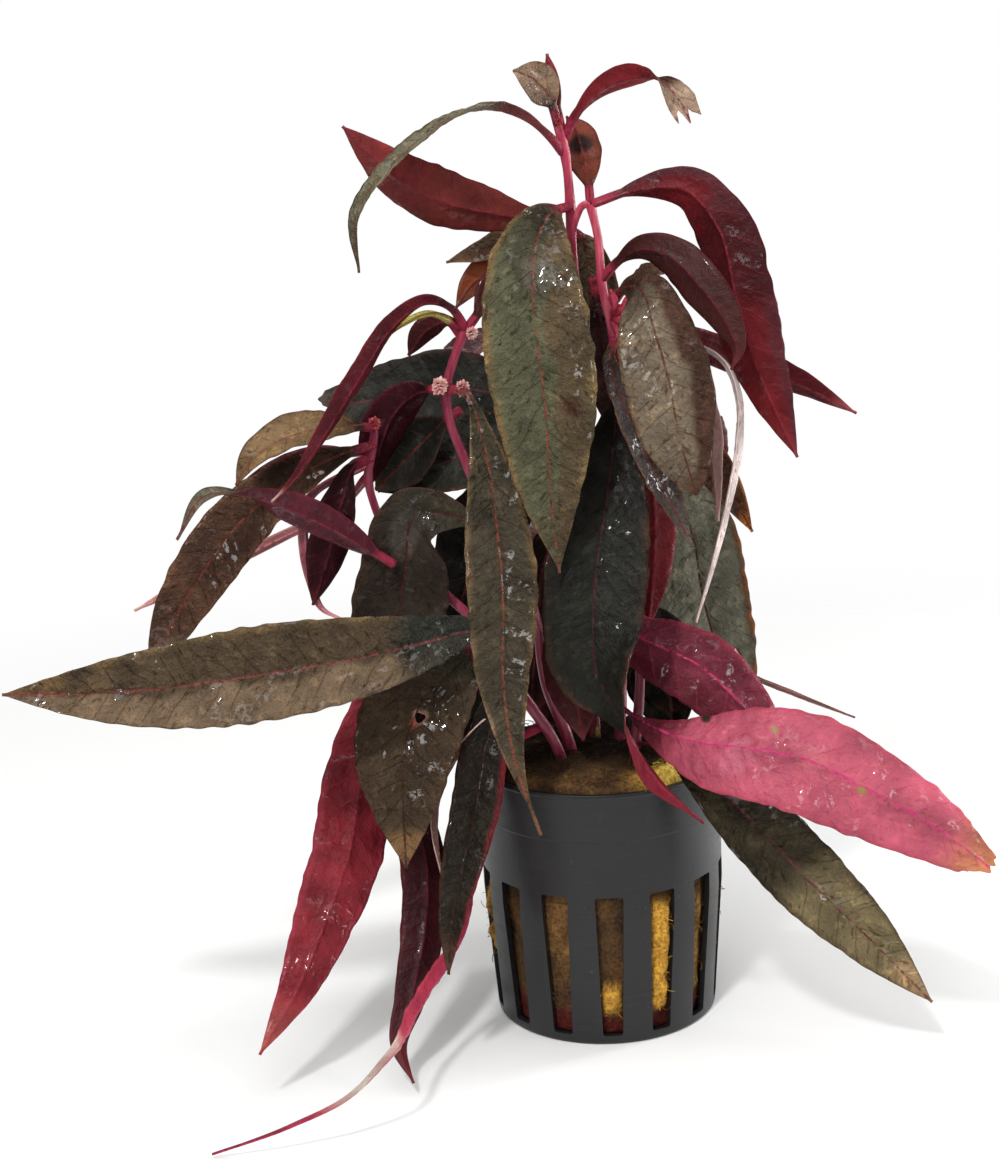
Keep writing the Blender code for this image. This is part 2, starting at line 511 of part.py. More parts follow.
def make_leaf(name, colour, width, fold, spine_points, turns, facing, holder):
    """Model one leaf blade as a thin closed solid with a raised midrib line and slanting halves."""
    samples, distances, own = smooth_curve(spine_points)
    start = clear_of_stems(samples, distances)
    length = distances[-1] - start
    count = max(7, min(13, int(length / STATION_SPACING) + 3))
    shares = np.linspace(0, 1, count)
    reached = start + shares * length
    spine = along(distances, samples, reached)
    tangents = unit(np.gradient(spine, axis=0))
    face = unit(facing(spine) - tangents * (facing(spine) * tangents).sum(axis=1, keepdims=True))
    turn = np.radians(np.interp(reached, own, turns))[:, None]
    normals = face * np.cos(turn) + np.cross(tangents, face) * np.sin(turn)
    sides = np.cross(tangents, normals)
    powers = BLADE_SHAPES.get(name, BLADE_POWERS)
    half = blade_half_widths(shares * (1 - TORN_TIPS.get(name, 0)), width, powers)[:, None]
    rise = math.sin(math.radians(fold))
    run = math.cos(math.radians(fold))
    mesh = bpy.data.meshes.new(name)
    shape = bmesh.new()
    rings = []
    for index in range(count):
        centre = spine[index] - spine[0]
        left = centre - sides[index] * half[index] * run + normals[index] * half[index] * rise
        right = centre + sides[index] * half[index] * run + normals[index] * half[index] * rise
        rib = normals[index] * MIDRIB_THICKNESS / 2
        margin = normals[index] * MARGIN_THICKNESS / 2
        ring = (left + margin, centre + rib, right + margin, right - margin, centre - rib, left - margin)
        rings.append([shape.verts.new(corner * MM) for corner in ring])
    for near, far in zip(rings, rings[1:]):
        for corner in range(6):
            following = (corner + 1) % 6
            shape.faces.new((near[corner], near[following], far[following], far[corner]))
    shape.faces.new(rings[0])
    shape.faces.new(rings[-1])
    bmesh.ops.triangulate(shape, faces=shape.faces)
    bmesh.ops.recalc_face_normals(shape, faces=shape.faces)
    shape.to_mesh(mesh)
    shape.free()
    leaf = add_object(name, mesh, spine[0], holder, colour, 0.35)
    leaf.data.shade_smooth()
    return leaf


def towards_eye(points):
    """Directions from the points to the viewpoint, lifted a little so that no blade loses its upper side."""
    return unit(view_axes()[0] - points) + np.array([0.0, 0.0, FACE_LIFT])


def upwards(points):
    """The upward direction at each point."""
    return np.tile(np.array([0.0, 0.0, 1.0]), (len(points), 1))


def make_drawn_leaf(name, holder):
    """Model a leaf that is drawn by its route."""
    colour, width, fold, rows = LEAVES[name]
    spine = [from_drawing(across, up, front) for across, up, front, _ in rows]
    turns = [row[3] for row in rows]
    return make_leaf(name, colour, width, fold, spine, turns, towards_eye, holder)


def make_back_leaf(name, holder):
    """Model a leaf of the far side, which leaves its stem and arches over."""
    colour, width, length, stem, height, heading, rise, droop = BACK_LEAVES[name]
    samples, _, _ = smooth_curve([from_drawing(*point) for point in STEMS[stem][1]])
    foot = samples[np.abs(samples[:, 2] - height).argmin()]
    outward = np.array([math.cos(math.radians(heading)), math.sin(math.radians(heading)), 0])
    spine = []
    for share in np.linspace(0, 1, BACK_LEAF_POINTS):
        reach = length * (share - BACK_LEAF_PULL * droop * share**2)
        climb = length * (rise * share - BACK_LEAF_SAG * droop * share**2)
        spine.append(foot + outward * reach + np.array([0, 0, climb]))
    return make_leaf(name, colour, width, BACK_LEAF_FOLD, spine, [0] * len(spine), upwards, holder)


def main():
    """Build the potted plant."""
    clear_scene()
    holder = add_empty("potted_plant", (0, 0, 0))
    make_pot(holder)
    stems = [make_stem(name, holder) for name in STEMS]
    make_wool(holder, stems)
    for name in LEAVES:
        make_drawn_leaf(name, holder)
    for name in BACK_LEAVES:
        make_back_leaf(name, holder)


main()
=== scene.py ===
# %% [markdown]
# Potted sessile joyweed. The pot, the plug of growing wool, the stems and every leaf come as plain
# solids in a fixed frame. This lesson dresses each of them in its real shape and finish: thin
# puckered leaves with two differently coloured faces, smooth pink stems, fibrous wool and a
# slotted plastic pot. Lengths are written in millimetres and turned into metres at the last step.

# %% Load the frame
import json
import math

import bpy
import numpy as np
from mathutils import Matrix, Vector, noise

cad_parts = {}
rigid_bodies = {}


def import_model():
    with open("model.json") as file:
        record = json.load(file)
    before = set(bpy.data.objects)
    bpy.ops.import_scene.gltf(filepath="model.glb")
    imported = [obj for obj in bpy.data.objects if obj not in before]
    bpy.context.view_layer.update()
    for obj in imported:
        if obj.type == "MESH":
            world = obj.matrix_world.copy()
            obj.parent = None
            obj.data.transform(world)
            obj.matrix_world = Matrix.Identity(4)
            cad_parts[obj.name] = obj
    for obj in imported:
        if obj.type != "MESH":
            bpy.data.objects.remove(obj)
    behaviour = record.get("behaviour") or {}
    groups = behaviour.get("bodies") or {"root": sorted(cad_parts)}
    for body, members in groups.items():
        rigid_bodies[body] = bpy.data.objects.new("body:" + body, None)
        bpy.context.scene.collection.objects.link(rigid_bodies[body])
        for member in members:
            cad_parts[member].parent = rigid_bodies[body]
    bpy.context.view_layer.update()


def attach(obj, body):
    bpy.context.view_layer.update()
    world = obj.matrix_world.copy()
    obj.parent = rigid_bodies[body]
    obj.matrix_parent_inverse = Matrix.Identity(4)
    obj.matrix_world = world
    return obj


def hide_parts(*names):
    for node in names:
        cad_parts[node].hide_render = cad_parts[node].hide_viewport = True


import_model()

MM = 0.001
BODY = "root"

# %% [markdown]
# The plant is described as a botanist would draw it: from one viewpoint, on a drawing plane that
# stands through the pot's foot, square to the line of sight. A point has a place across and up on
# the drawing, and a depth in front of the pot's axis. One function turns that into a real place,
# and the camera stands where the drawing was made, so the render repeats the drawing.

# %% The viewpoint and the drawing
EYE = np.array([-18.5, -420.0, 198.0])
PITCH = math.radians(14.3)
ROLL = math.radians(-2.7)
LENS = 66.4
SENSOR = 36.0

SIGHT = np.array([0.0, math.cos(PITCH), -math.sin(PITCH)])
LEVEL = np.array([1.0, 0.0, 0.0])
UPRIGHT = np.cross(LEVEL, SIGHT)
RIGHT = math.cos(ROLL) * LEVEL + math.sin(ROLL) * UPRIGHT
UP = -math.sin(ROLL) * LEVEL + math.cos(ROLL) * UPRIGHT


def from_drawing(across, up, front):
    """Find the point that is seen at a place on the drawing and lies front mm before the pot's axis."""
    ray = across * RIGHT + up * UP - EYE
    return EYE + ray * (-front - EYE[1]) / ray[1]


def add_camera():
    """Stand the camera at the viewpoint."""
    camera = bpy.data.objects.new("camera", bpy.data.cameras.new("camera"))
    bpy.context.scene.collection.objects.link(camera)
    camera.data.lens = LENS
    camera.data.sensor_width = SENSOR
    camera.data.clip_start = 0.01
    turn = Matrix((RIGHT, UP, -SIGHT)).transposed()
    camera.matrix_world = Matrix.Translation(Vector(EYE * MM)) @ turn.to_4x4()
    bpy.context.scene.camera = camera
    return camera


bpy.context.scene.view_settings.view_transform = "Standard"
print("Camera at", tuple(round(value, 4) for value in add_camera().location))

# %% [markdown]
# Materials and Geometry Nodes are both trees of nodes, and long trees are hard to read node by node. A
# small class wraps one output socket, so that arithmetic on it, such as 1 - mask, adds Math nodes.


# %% Arithmetic on sockets
class Wire:
    """One output socket, on which arithmetic adds Math nodes."""

    def __init__(self, bench, socket):
        self.bench = bench
        self.socket = socket

    def maths(self, operation, first, second=0.0):
        """Add one Math node."""
        return self.bench.add("ShaderNodeMath", {"operation": operation}, {0: first, 1: second})

    def __add__(self, other):
        return self.maths("ADD", self, other)

    def __radd__(self, other):
        return self.maths("ADD", other, self)

    def __sub__(self, other):
        return self.maths("SUBTRACT", self, other)

    def __rsub__(self, other):
        return self.maths("SUBTRACT", other, self)

    def __mul__(self, other):
        return self.maths("MULTIPLY", self, other)

    def __rmul__(self, other):
        return self.maths("MULTIPLY", other, self)

    def __truediv__(self, other):
        return self.maths("DIVIDE", self, other)

    def __rtruediv__(self, other):
        return self.maths("DIVIDE", other, self)

    def __abs__(self):
        return self.maths("ABSOLUTE", self)

    def sine(self):
        """Sine of the value, in radians."""
        return self.maths("SINE", self)


print("Sockets can be added, subtracted, multiplied and divided")

# %% [markdown]
# Every other kind of node comes from one method that takes the node's type, its settings and its
# inputs. Four shorthands stand on it: mixing two colours, a soft step, noise and splitting a vector.


# %% A bench for nodes
class Bench:
    """Builds the nodes of one tree."""

    def __init__(self, tree):
        self.tree = tree

    def add(self, kind, settings=None, inputs=None, out=0):
        """Add a node: its settings first, then the values or links of its inputs."""
        node = self.tree.nodes.new(kind)
        for key, value in (settings or {}).items():
            if key == "stops":
                self.set_stops(node.color_ramp, value)
            else:
                setattr(node, key, value)
        for key, value in (inputs or {}).items():
            if isinstance(value, Wire):
                self.tree.links.new(value.socket, node.inputs[key])
            else:
                node.inputs[key].default_value = value
        return Wire(self, node.outputs[out])

    @staticmethod
    def set_stops(ramp, stops):
        """Give a colour ramp its stops."""
        while len(ramp.elements) < len(stops):
            ramp.elements.new(1.0)
        for element, (place, colour) in zip(ramp.elements, stops):
            element.position = place
            element.color = colour

    def blend(self, share, first, second, mode="MIX"):
        """Mix two colours."""
        settings = {"data_type": "RGBA", "blend_type": mode, "clamp_factor": True}
        return self.add("ShaderNodeMix", settings, {0: share, 6: first, 7: second}, out=2)

    def step(self, value, low, high):
        """Rise smoothly from 0 to 1 while the value goes from low to high."""
        settings = {"interpolation_type": "SMOOTHSTEP", "clamp": True}
        return self.add("ShaderNodeMapRange", settings, {0: value, 1: low, 2: high, 3: 0.0, 4: 1.0})

    def grain(self, where, scale, detail=3.0, roughness=0.55):
        """Soft noise from 0 to 1."""
        return self.add("ShaderNodeTexNoise", None,
                        {"Vector": where, "Scale": scale, "Detail": detail, "Roughness": roughness})

    def parts_of(self, vector):
        """Split a vector in three."""
        split = self.tree.nodes.new("ShaderNodeSeparateXYZ")
        self.tree.links.new(vector.socket, split.inputs[0])
        return [Wire(self, output) for output in split.outputs]


def rgba(colour):
    """Write a colour with full opacity."""
    return (*colour, 1.0)


print("The node bench is ready")

# %% [markdown]
# A finish is a bench that opens a material. Its patterns read the piece's own coordinates, so they
# stay on the piece wherever it is put.


# %% A bench for materials
class Finish(Bench):
    """One material, with its Principled shader ready."""

    def __init__(self, name, **constants):
        self.material = bpy.data.materials.new(name)
        self.material.use_nodes = True
        super().__init__(self.material.node_tree)
        self.shader = self.tree.nodes["Principled BSDF"]
        self.place = self.add("ShaderNodeTexCoord", out=3)
        for key, value in constants.items():
            self.shader.inputs[key.replace("_", " ")].default_value = value

    def feed(self, socket, wire):
        """Link a wire to one input of the shader."""
        self.tree.links.new(wire.socket, self.shader.inputs[socket])

    def bump(self, height, distance, strength=1.0):
        """Raise fine relief."""
        normal = self.add("ShaderNodeBump", None,
                          {"Height": height, "Distance": distance * MM, "Strength": strength})
        self.feed("Normal", normal)

    def attribute(self, name, out):
        """Read one of the piece's own attributes: its colour (0), its vector (1) or its value (2)."""
        return self.add("ShaderNodeAttribute", {"attribute_name": name}, out=out)


print("The material bench is ready")

# %% [markdown]
# The plant stands on a plain pale floor, which catches its shadow and isn't part of it. A plane would
# end in a visible edge against the white world, so its material fades to nothing further out.

# %% The floor
FLOOR_COLOUR = (0.86, 0.86, 0.85, 1.0)
FLOOR_ROUGHNESS = 0.7
FLOOR_FADE = (0.16, 0.40)
FLOOR_HALF = 1.5


def add_floor():
    """Lay the pale floor, which fades out far from the plant so that no horizon shows."""
    mesh = bpy.data.meshes.new("floor")
    corners = [(across * FLOOR_HALF, away * FLOOR_HALF, 0)
               for across, away in ((-1, -1), (1, -1), (1, 1), (-1, 1))]
    mesh.from_pydata(corners, [], [(0, 1, 2, 3)])
    floor = bpy.data.objects.new("floor", mesh)
    bpy.context.scene.collection.objects.link(floor)
    paint = Finish("floor", Base_Color=FLOOR_COLOUR, Roughness=FLOOR_ROUGHNESS)
    reach = paint.add("ShaderNodeVectorMath", {"operation": "LENGTH"}, {0: paint.place}, out="Value")
    opaque, clear = Wire(paint, paint.shader.outputs[0]), paint.add("ShaderNodeBsdfTransparent")
    fading = paint.add("ShaderNodeMixShader", None, {0: paint.step(reach, *FLOOR_FADE), 1: opaque, 2: clear})
    paint.tree.links.new(fading.socket, paint.tree.nodes["Material Output"].inputs["Surface"])
    mesh.materials.append(paint.material)


add_floor()
print("The floor fades out from", FLOOR_FADE[0], "to", FLOOR_FADE[1], "m away from the pot")

# %% [markdown]
# The photograph is a bright studio picture. A white world lights the plant evenly, but it would turn
# the wet leaves milky, so it shows little in reflections. Soft lamps do the rest: two from above and
# in front, a small key lamp for the fine glints on the leaves, and two tall ones at the right that
# draw the sheen on the pot.

# %% World and lamps
WHITE = (1.0, 1.0, 1.0, 1.0)
SKY_SEEN = 1.0
SKY_LIGHT = 0.30
SKY_SHEEN = 0.08
PANELS = {
    "overhead": ((-0.10, -0.10, 0.90), (1.0, 0.9), 6.0),
    "front": ((-0.30, -0.80, 0.45), (0.35, 0.35), 2.2),
    "key": ((-0.22, -0.55, 0.72), (0.07, 0.07), 3.4),
    "right_side": ((0.55, -0.22, 0.20), (0.12, 0.50), 1.3),
    "right_edge": ((0.42, 0.16, 0.10), (0.10, 0.40), 1.8),
}
LOOK_AT = Vector((0.0, 0.0, 0.09))


def add_panel(name, place, size, power):
    """Add one soft rectangular light that faces the plant."""
    light = bpy.data.lights.new(name, "AREA")
    light.shape = "RECTANGLE"
    light.size, light.size_y = size
    light.energy = power
    panel = bpy.data.objects.new(name, light)
    bpy.context.scene.collection.objects.link(panel)
    panel.location = place
    panel.rotation_euler = (LOOK_AT - Vector(place)).to_track_quat("-Z", "Y").to_euler()


def add_world():
    """Surround the scene with even white light, of which little shows in reflections."""
    world = bpy.data.worlds.new("studio")
    bpy.context.scene.world = world
    world.use_nodes = True
    sky = Bench(world.node_tree)
    glossy = sky.add("ShaderNodeLightPath", out="Is Glossy Ray")
    seen = sky.add("ShaderNodeLightPath", out="Is Camera Ray")
    lit = glossy * (SKY_SHEEN - SKY_LIGHT) + SKY_LIGHT
    background = sky.tree.nodes["Background"].inputs
    background["Color"].default_value = WHITE
    sky.tree.links.new((lit + seen * (SKY_SEEN - lit)).socket, background["Strength"])


add_world()
for panel_name, (panel_place, panel_size, panel_power) in PANELS.items():
    add_panel(panel_name, panel_place, panel_size, panel_power)
print("Lamps:", ", ".join(PANELS))

# %% [markdown]
# A joyweed leaf is puckered and thinly waxed. Its upper face is olive, brown or nearly black, specked
# with dark dashes along the side veins, and glints only on its small bumps. The finish paints the
# crests of those bumps lighter, a painted highlight, and the pits and dashes between them darker,
# partly the leaf's own specks and partly painted shade. Its underside is a satin crimson to magenta.
# Slow changes of colour are painted on the blade, and the finish adds what is finer. It works in the
# leaf's own measures, mm from the midrib and a count of side veins, so the veins bend with every
# blade, which no image would.

# %% Finishes of the leaf's two faces
WET_ROUGHNESS = 0.07
LEAF_SHEEN = 0.10
WANDER_GRAIN = 420.0
WORN_GRAIN = 700.0
BROAD_GRAIN = 170.0
BUMP_GRAIN = 480.0
PORE_GRAIN = 1250.0
SIDE_VEINS_END = (5.0, 9.0)
# A darker and a lighter copy of the leaf's colour: the lighter one is a painted highlight on the bump crests.
SHADED_LEAF = (0.30, 0.22, 0.17)
LIT_LEAF = (1.50, 1.42, 1.30)


def leaf_finish(name, side_veins, vein_relief, mottle, roughness, wax, relief_depth):
    """Make one face of the leaves. The blade attribute holds the gloss, mm across and the vein phase."""
    finish = Finish(name, Coat_Roughness=WET_ROUGHNESS, Specular_IOR_Level=LEAF_SHEEN)
    tint = finish.attribute("blade_colour", 0)
    vein_tint = finish.attribute("vein_colour", 0)
    gloss, across, phase = finish.parts_of(finish.attribute("blade", 1))
    beside = abs(across)
    wander = finish.grain(finish.place, WANDER_GRAIN, 2.0) - 0.5
    side = abs((phase * math.pi + wander * 0.7).sine())
    side_vein = (1 - finish.step(side, 0.02, 0.15)) * (1 - finish.step(beside, *SIDE_VEINS_END))
    worn = finish.grain(finish.place, WORN_GRAIN, 2.0)
    midrib = (1 - finish.step(beside + wander * 0.2, 0.10, 0.34)) * finish.step(worn, 0.34, 0.54)
    with_veins = finish.add("ShaderNodeCombineXYZ", None, {0: phase * 4.6, 1: across * 0.55})
    dashes = finish.grain(with_veins, 0.75, 3.0, 0.6)
    broad = finish.grain(finish.place, BROAD_GRAIN, 3.0, 0.55)
    bumps = finish.grain(finish.place, BUMP_GRAIN, 3.0, 0.60)
    pores = finish.grain(finish.place, PORE_GRAIN, 2.0, 0.6)
    shaded = finish.blend(1.0, tint, rgba(SHADED_LEAF), "MULTIPLY")
    lit = finish.blend(1.0, tint, rgba(LIT_LEAF), "MULTIPLY")
    dark = (1 - finish.step(dashes, 0.32, 0.43)) * 0.9 + (1 - finish.step(pores, 0.30, 0.40)) * 0.5
    colour = finish.blend(finish.step(broad, 0.38, 0.62) * mottle * 0.35, tint, shaded)
    # The crests of the bumps are painted lighter: a painted highlight.
    colour = finish.blend(finish.step(bumps, 0.52, 0.68) * mottle, colour, lit)
    # Pits and dashes are painted darker: partly the leaf's own specks, partly painted shade in the hollows.
    colour = finish.blend(dark * mottle, colour, shaded)
    colour = finish.blend(side_vein * side_veins, colour, vein_tint)
    colour = finish.blend(midrib * 0.9, colour, vein_tint)
    finish.feed("Base Color", colour)
    wet = finish.step(broad + bumps * 0.3, 0.66, 0.76) * gloss
    finish.feed("Roughness", roughness - gloss * 0.08 - wet * 0.14)
    finish.feed("Coat Weight", wet * finish.step(pores, 0.44, 0.52) * wax)
    relief = bumps + pores * 0.45 + dashes * 0.3 + side_vein * vein_relief
    finish.bump(relief * (gloss * 0.75 + 0.25), relief_depth)
    return finish.material


UPPER_FINISH = leaf_finish("leaf_upper_face", 0.08, -0.20, 0.85, 0.50, 1.0, 1.25)
UNDER_FINISH = leaf_finish("leaf_under_face", 0.22, 0.12, 0.34, 0.50, 0.7, 0.60)
print("Leaf finishes:", UPPER_FINISH.name, "and", UNDER_FINISH.name)

# %% [markdown]
# Leaves change with age and light, so each has one of seven looks instead of a material of its own. A
# look names the colours of the upper face, its margin, its tip and the part near the stem, those of
# the underside and the ribs, how glossy the leaf is, and how strongly it is puckered and waved.

# %% Looks of the leaves
LOOKS = {
    "olive": dict(
        upper=(0.090, 0.072, 0.034), margin=(0.15, 0.09, 0.035), tip=(0.12, 0.070, 0.030),
        inner=(0.036, 0.032, 0.020), rib=(0.20, 0.055, 0.036), under=(0.13, 0.016, 0.022),
        under_rib=(0.24, 0.035, 0.05), gloss=1.0, quilt=0.22, wave=0.16, slot="leaf_olive"),
    # The dark green look is partly the leaves' own colour and partly painted shade: leaves deep in the plant
    # are painted nearly black with it.
    "dark_green": dict(
        upper=(0.018, 0.016, 0.010), margin=(0.045, 0.020, 0.012), tip=(0.055, 0.03, 0.018),
        inner=(0.008, 0.007, 0.005), rib=(0.09, 0.014, 0.014), under=(0.10, 0.009, 0.014),
        under_rib=(0.20, 0.025, 0.04), gloss=0.35, quilt=0.16, wave=0.16, slot="leaf_dark_green"),
    "brown": dict(
        upper=(0.080, 0.042, 0.024), margin=(0.14, 0.070, 0.035), tip=(0.15, 0.085, 0.045),
        inner=(0.030, 0.015, 0.010), rib=(0.15, 0.035, 0.026), under=(0.11, 0.011, 0.016),
        under_rib=(0.20, 0.03, 0.04), gloss=0.85, quilt=0.20, wave=0.15, slot="leaf_brown"),
    "crimson": dict(
        upper=(0.045, 0.020, 0.013), margin=(0.13, 0.014, 0.018), tip=(0.20, 0.032, 0.036),
        inner=(0.06, 0.007, 0.010), rib=(0.17, 0.02, 0.028), under=(0.125, 0.011, 0.014),
        under_rib=(0.20, 0.018, 0.030), gloss=0.5, quilt=0.10, wave=0.14, slot="leaf_crimson"),
    "magenta": dict(
        upper=(0.055, 0.042, 0.022), margin=(0.40, 0.045, 0.080), tip=(0.42, 0.10, 0.08),
        inner=(0.12, 0.009, 0.018), rib=(0.34, 0.04, 0.08), under=(0.42, 0.058, 0.100),
        under_rib=(0.46, 0.035, 0.11), gloss=0.5, quilt=0.18, wave=0.20, slot="leaf_magenta"),
    "maroon": dict(
        upper=(0.030, 0.015, 0.010), margin=(0.07, 0.010, 0.012), tip=(0.11, 0.022, 0.022),
        inner=(0.022, 0.005, 0.006), rib=(0.11, 0.016, 0.020), under=(0.042, 0.006, 0.007),
        under_rib=(0.10, 0.012, 0.018), gloss=0.4, quilt=0.10, wave=0.14, slot="leaf_maroon"),
    "pale_pink": dict(
        upper=(0.30, 0.18, 0.14), margin=(0.66, 0.48, 0.44), tip=(0.55, 0.30, 0.24),
        inner=(0.20, 0.05, 0.055), rib=(0.42, 0.12, 0.13), under=(0.52, 0.32, 0.29),
        under_rib=(0.60, 0.24, 0.26), gloss=0.4, quilt=0.10, wave=0.12, slot="leaf_pale_pink"),
}
print(len(LOOKS), "looks:", ", ".join(LOOKS))

# %% [markdown]
# Five cuttings are rooted in the pot. Placing a stem in space would be slow, so it is drawn: its
# radius, and points that are each a place across and up on the drawing and a depth in front.

# %% Routes of the stems
STEMS = {
    "stem_main": (1.25, [
        (-1.5, 41.5, 0), (-3, 62.5, -2), (-4, 84, -3), (-5.5, 105, -2), (-6, 126, -1),
        (-6.5, 147, 0), (-7.5, 161, 0), (-8, 170.5, 1), (-9, 179, 2), (-10.5, 185, 3)]),
    "stem_right": (1.2, [
        (2, 41.5, 0), (3, 65, 1), (3, 84, 2), (2.5, 115.5, 3), (1.5, 139, 4),
        (-1, 150.5, 4), (-2, 161, 3), (-3.5, 167.5, 3)]),
    "stem_left": (1.3, [
        (-5, 41.5, 3), (-9, 56.5, 7), (-12.5, 65, 8), (-15, 79.5, 8), (-20.5, 94.5, 9),
        (-27, 106, 9), (-30.5, 114.5, 9), (-33, 121, 9), (-34, 128, 9), (-32.5, 134.5, 9), (-30, 141, 9)]),
    "stem_far_left": (1.15, [
        (-7, 41.5, 8), (-11.5, 54.5, 11), (-17, 62.5, 12), (-24.5, 75.5, 10), (-35.5, 86, 8),
        (-44, 92, 6), (-48, 100.5, 5), (-50.5, 110, 5), (-49.5, 116.5, 5), (-49, 121, 5)]),
    "stem_low_right": (1.1, [
        (4.5, 41.5, 5), (5.5, 50, 7), (6.5, 58.5, 7), (7, 67, 7), (6.5, 77.5, 7)]),
}
print(len(STEMS), "stems")

# %% [markdown]
# A leaf is drawn as its look, its width, the fold of its halves and the route of its midrib. A row of
# the route is a place across, up and in front, and the turn of the blade there: 0 shows the upper
# face, 90 the edge and 180 the underside. The crown comes first, then the broad leaves below it.

# %% Routes of the crown and the upper leaves
LEAVES = {
    "leaf_crown_up": ("brown", 7.5, 10, [
        (-10.5, 184.5, 3, 20), (-11.5, 188, 4, 20), (-13.2, 191.5, 6, 15), (-16, 194.2, 8, 10),
        (-19.8, 195.8, 10, 5)]),
    "leaf_crown_strip": ("crimson", 3.2, 6, [
        (-9.6, 182.5, 2.4, 150), (-10.7, 188, 2.4, 150), (-11.8, 194, 2.4, 150), (-12.7, 199.4, 2.4, 150)]),
    "leaf_crown_right": ("crimson", 6.8, 8, [
        (-9, 181.5, 2, -165), (-6.2, 187, 4, -150), (-1.8, 191.6, 6, -140), (5, 194.4, 9, -130),
        (10.8, 194.2, 11, -80), (15.3, 189.3, 13, -25), (19.2, 182.3, 14, -10)]),
    "leaf_crown_left": ("olive", 7.3, 8, [
        (-9.5, 178.5, 2, 130), (-11.4, 181, 4, 125), (-17.2, 185.8, 7, 118), (-24.5, 188, 10, 100),
        (-31, 187, 13, 75), (-38.5, 181.8, 15, 65), (-47.2, 174.3, 17, 62), (-53.1, 165, 18, 60),
        (-52.5, 153, 18, 60)]),
    "leaf_crown_back": ("maroon", 7.5, 12, [
        (-3.5, 167.5, 3, 180), (-4, 173, -1, 180), (-5, 178, -6, 175), (-6.5, 183, -12, 170),
        (-8.5, 186, -18, 170)]),
    "leaf_upper_left": ("crimson", 11.5, 14, [
        (-8, 167, 1, 150), (-15, 165, 3, 155), (-24.5, 165.8, 6, 155), (-35.5, 168.5, 9, 153),
        (-46, 174.3, 11, 150), (-56, 184, 12, 150)]),
    "leaf_front_broad": ("olive", 20.5, 9, [
        (-8, 167, 1, 0), (-12, 165.5, 8, 0), (-15.5, 156.5, 17, 0), (-15, 141, 23, 0),
        (-13, 124, 26, 0), (-12, 107, 27, 0), (-10, 89.5, 26, 0)]),
    "leaf_behind_broad": ("brown", 11.5, 8, [
        (-7.5, 162, 0, 10), (-5.5, 160.5, -3, 10), (-4, 154, -4.5, 8), (-3.5, 147, -4.5, 5),
        (-3, 140, -4, 0)]),
    "leaf_arch_right": ("crimson", 14, 14, [
        (-3, 167.5, 3, -150), (7, 170.8, 5, -150), (17, 170.5, 8, -152), (23.5, 163, 10, -153),
        (27.3, 148.7, 12, -155), (30.6, 136.5, 13, -157), (35.2, 125, 14, -157),
        (40.3, 114, 14, -157)]),
    "leaf_arch_small": ("maroon", 8.8, 12, [
        (-1, 151.5, 4, -150), (2.5, 155.5, 6, -150), (7.5, 158.1, 10, -155),
        (13.5, 156.4, 14, -158), (19.7, 150.3, 18, -158), (25.5, 142, 21, -155),
        (27.5, 136.5, 22, -140), (26.3, 132.5, 22, -120)]),
    "leaf_right_broad": ("brown", 17, -12, [
        (1.5, 147, 4, 0), (4, 150, 9, 0), (7.5, 149, 15, 0), (10, 141, 20, 0),
        (13, 130.5, 23, 0), (15.5, 117.5, 25, 0), (19, 106, 25, 0)]),
}
print(len(LEAVES), "leaves so far")

# %% [markdown]
# On the right the leaves arch over and droop, and two of the lowest show their magenta undersides. In
# the middle long leaves hang in front of the stems. One is nearly black and curls over at its tip.

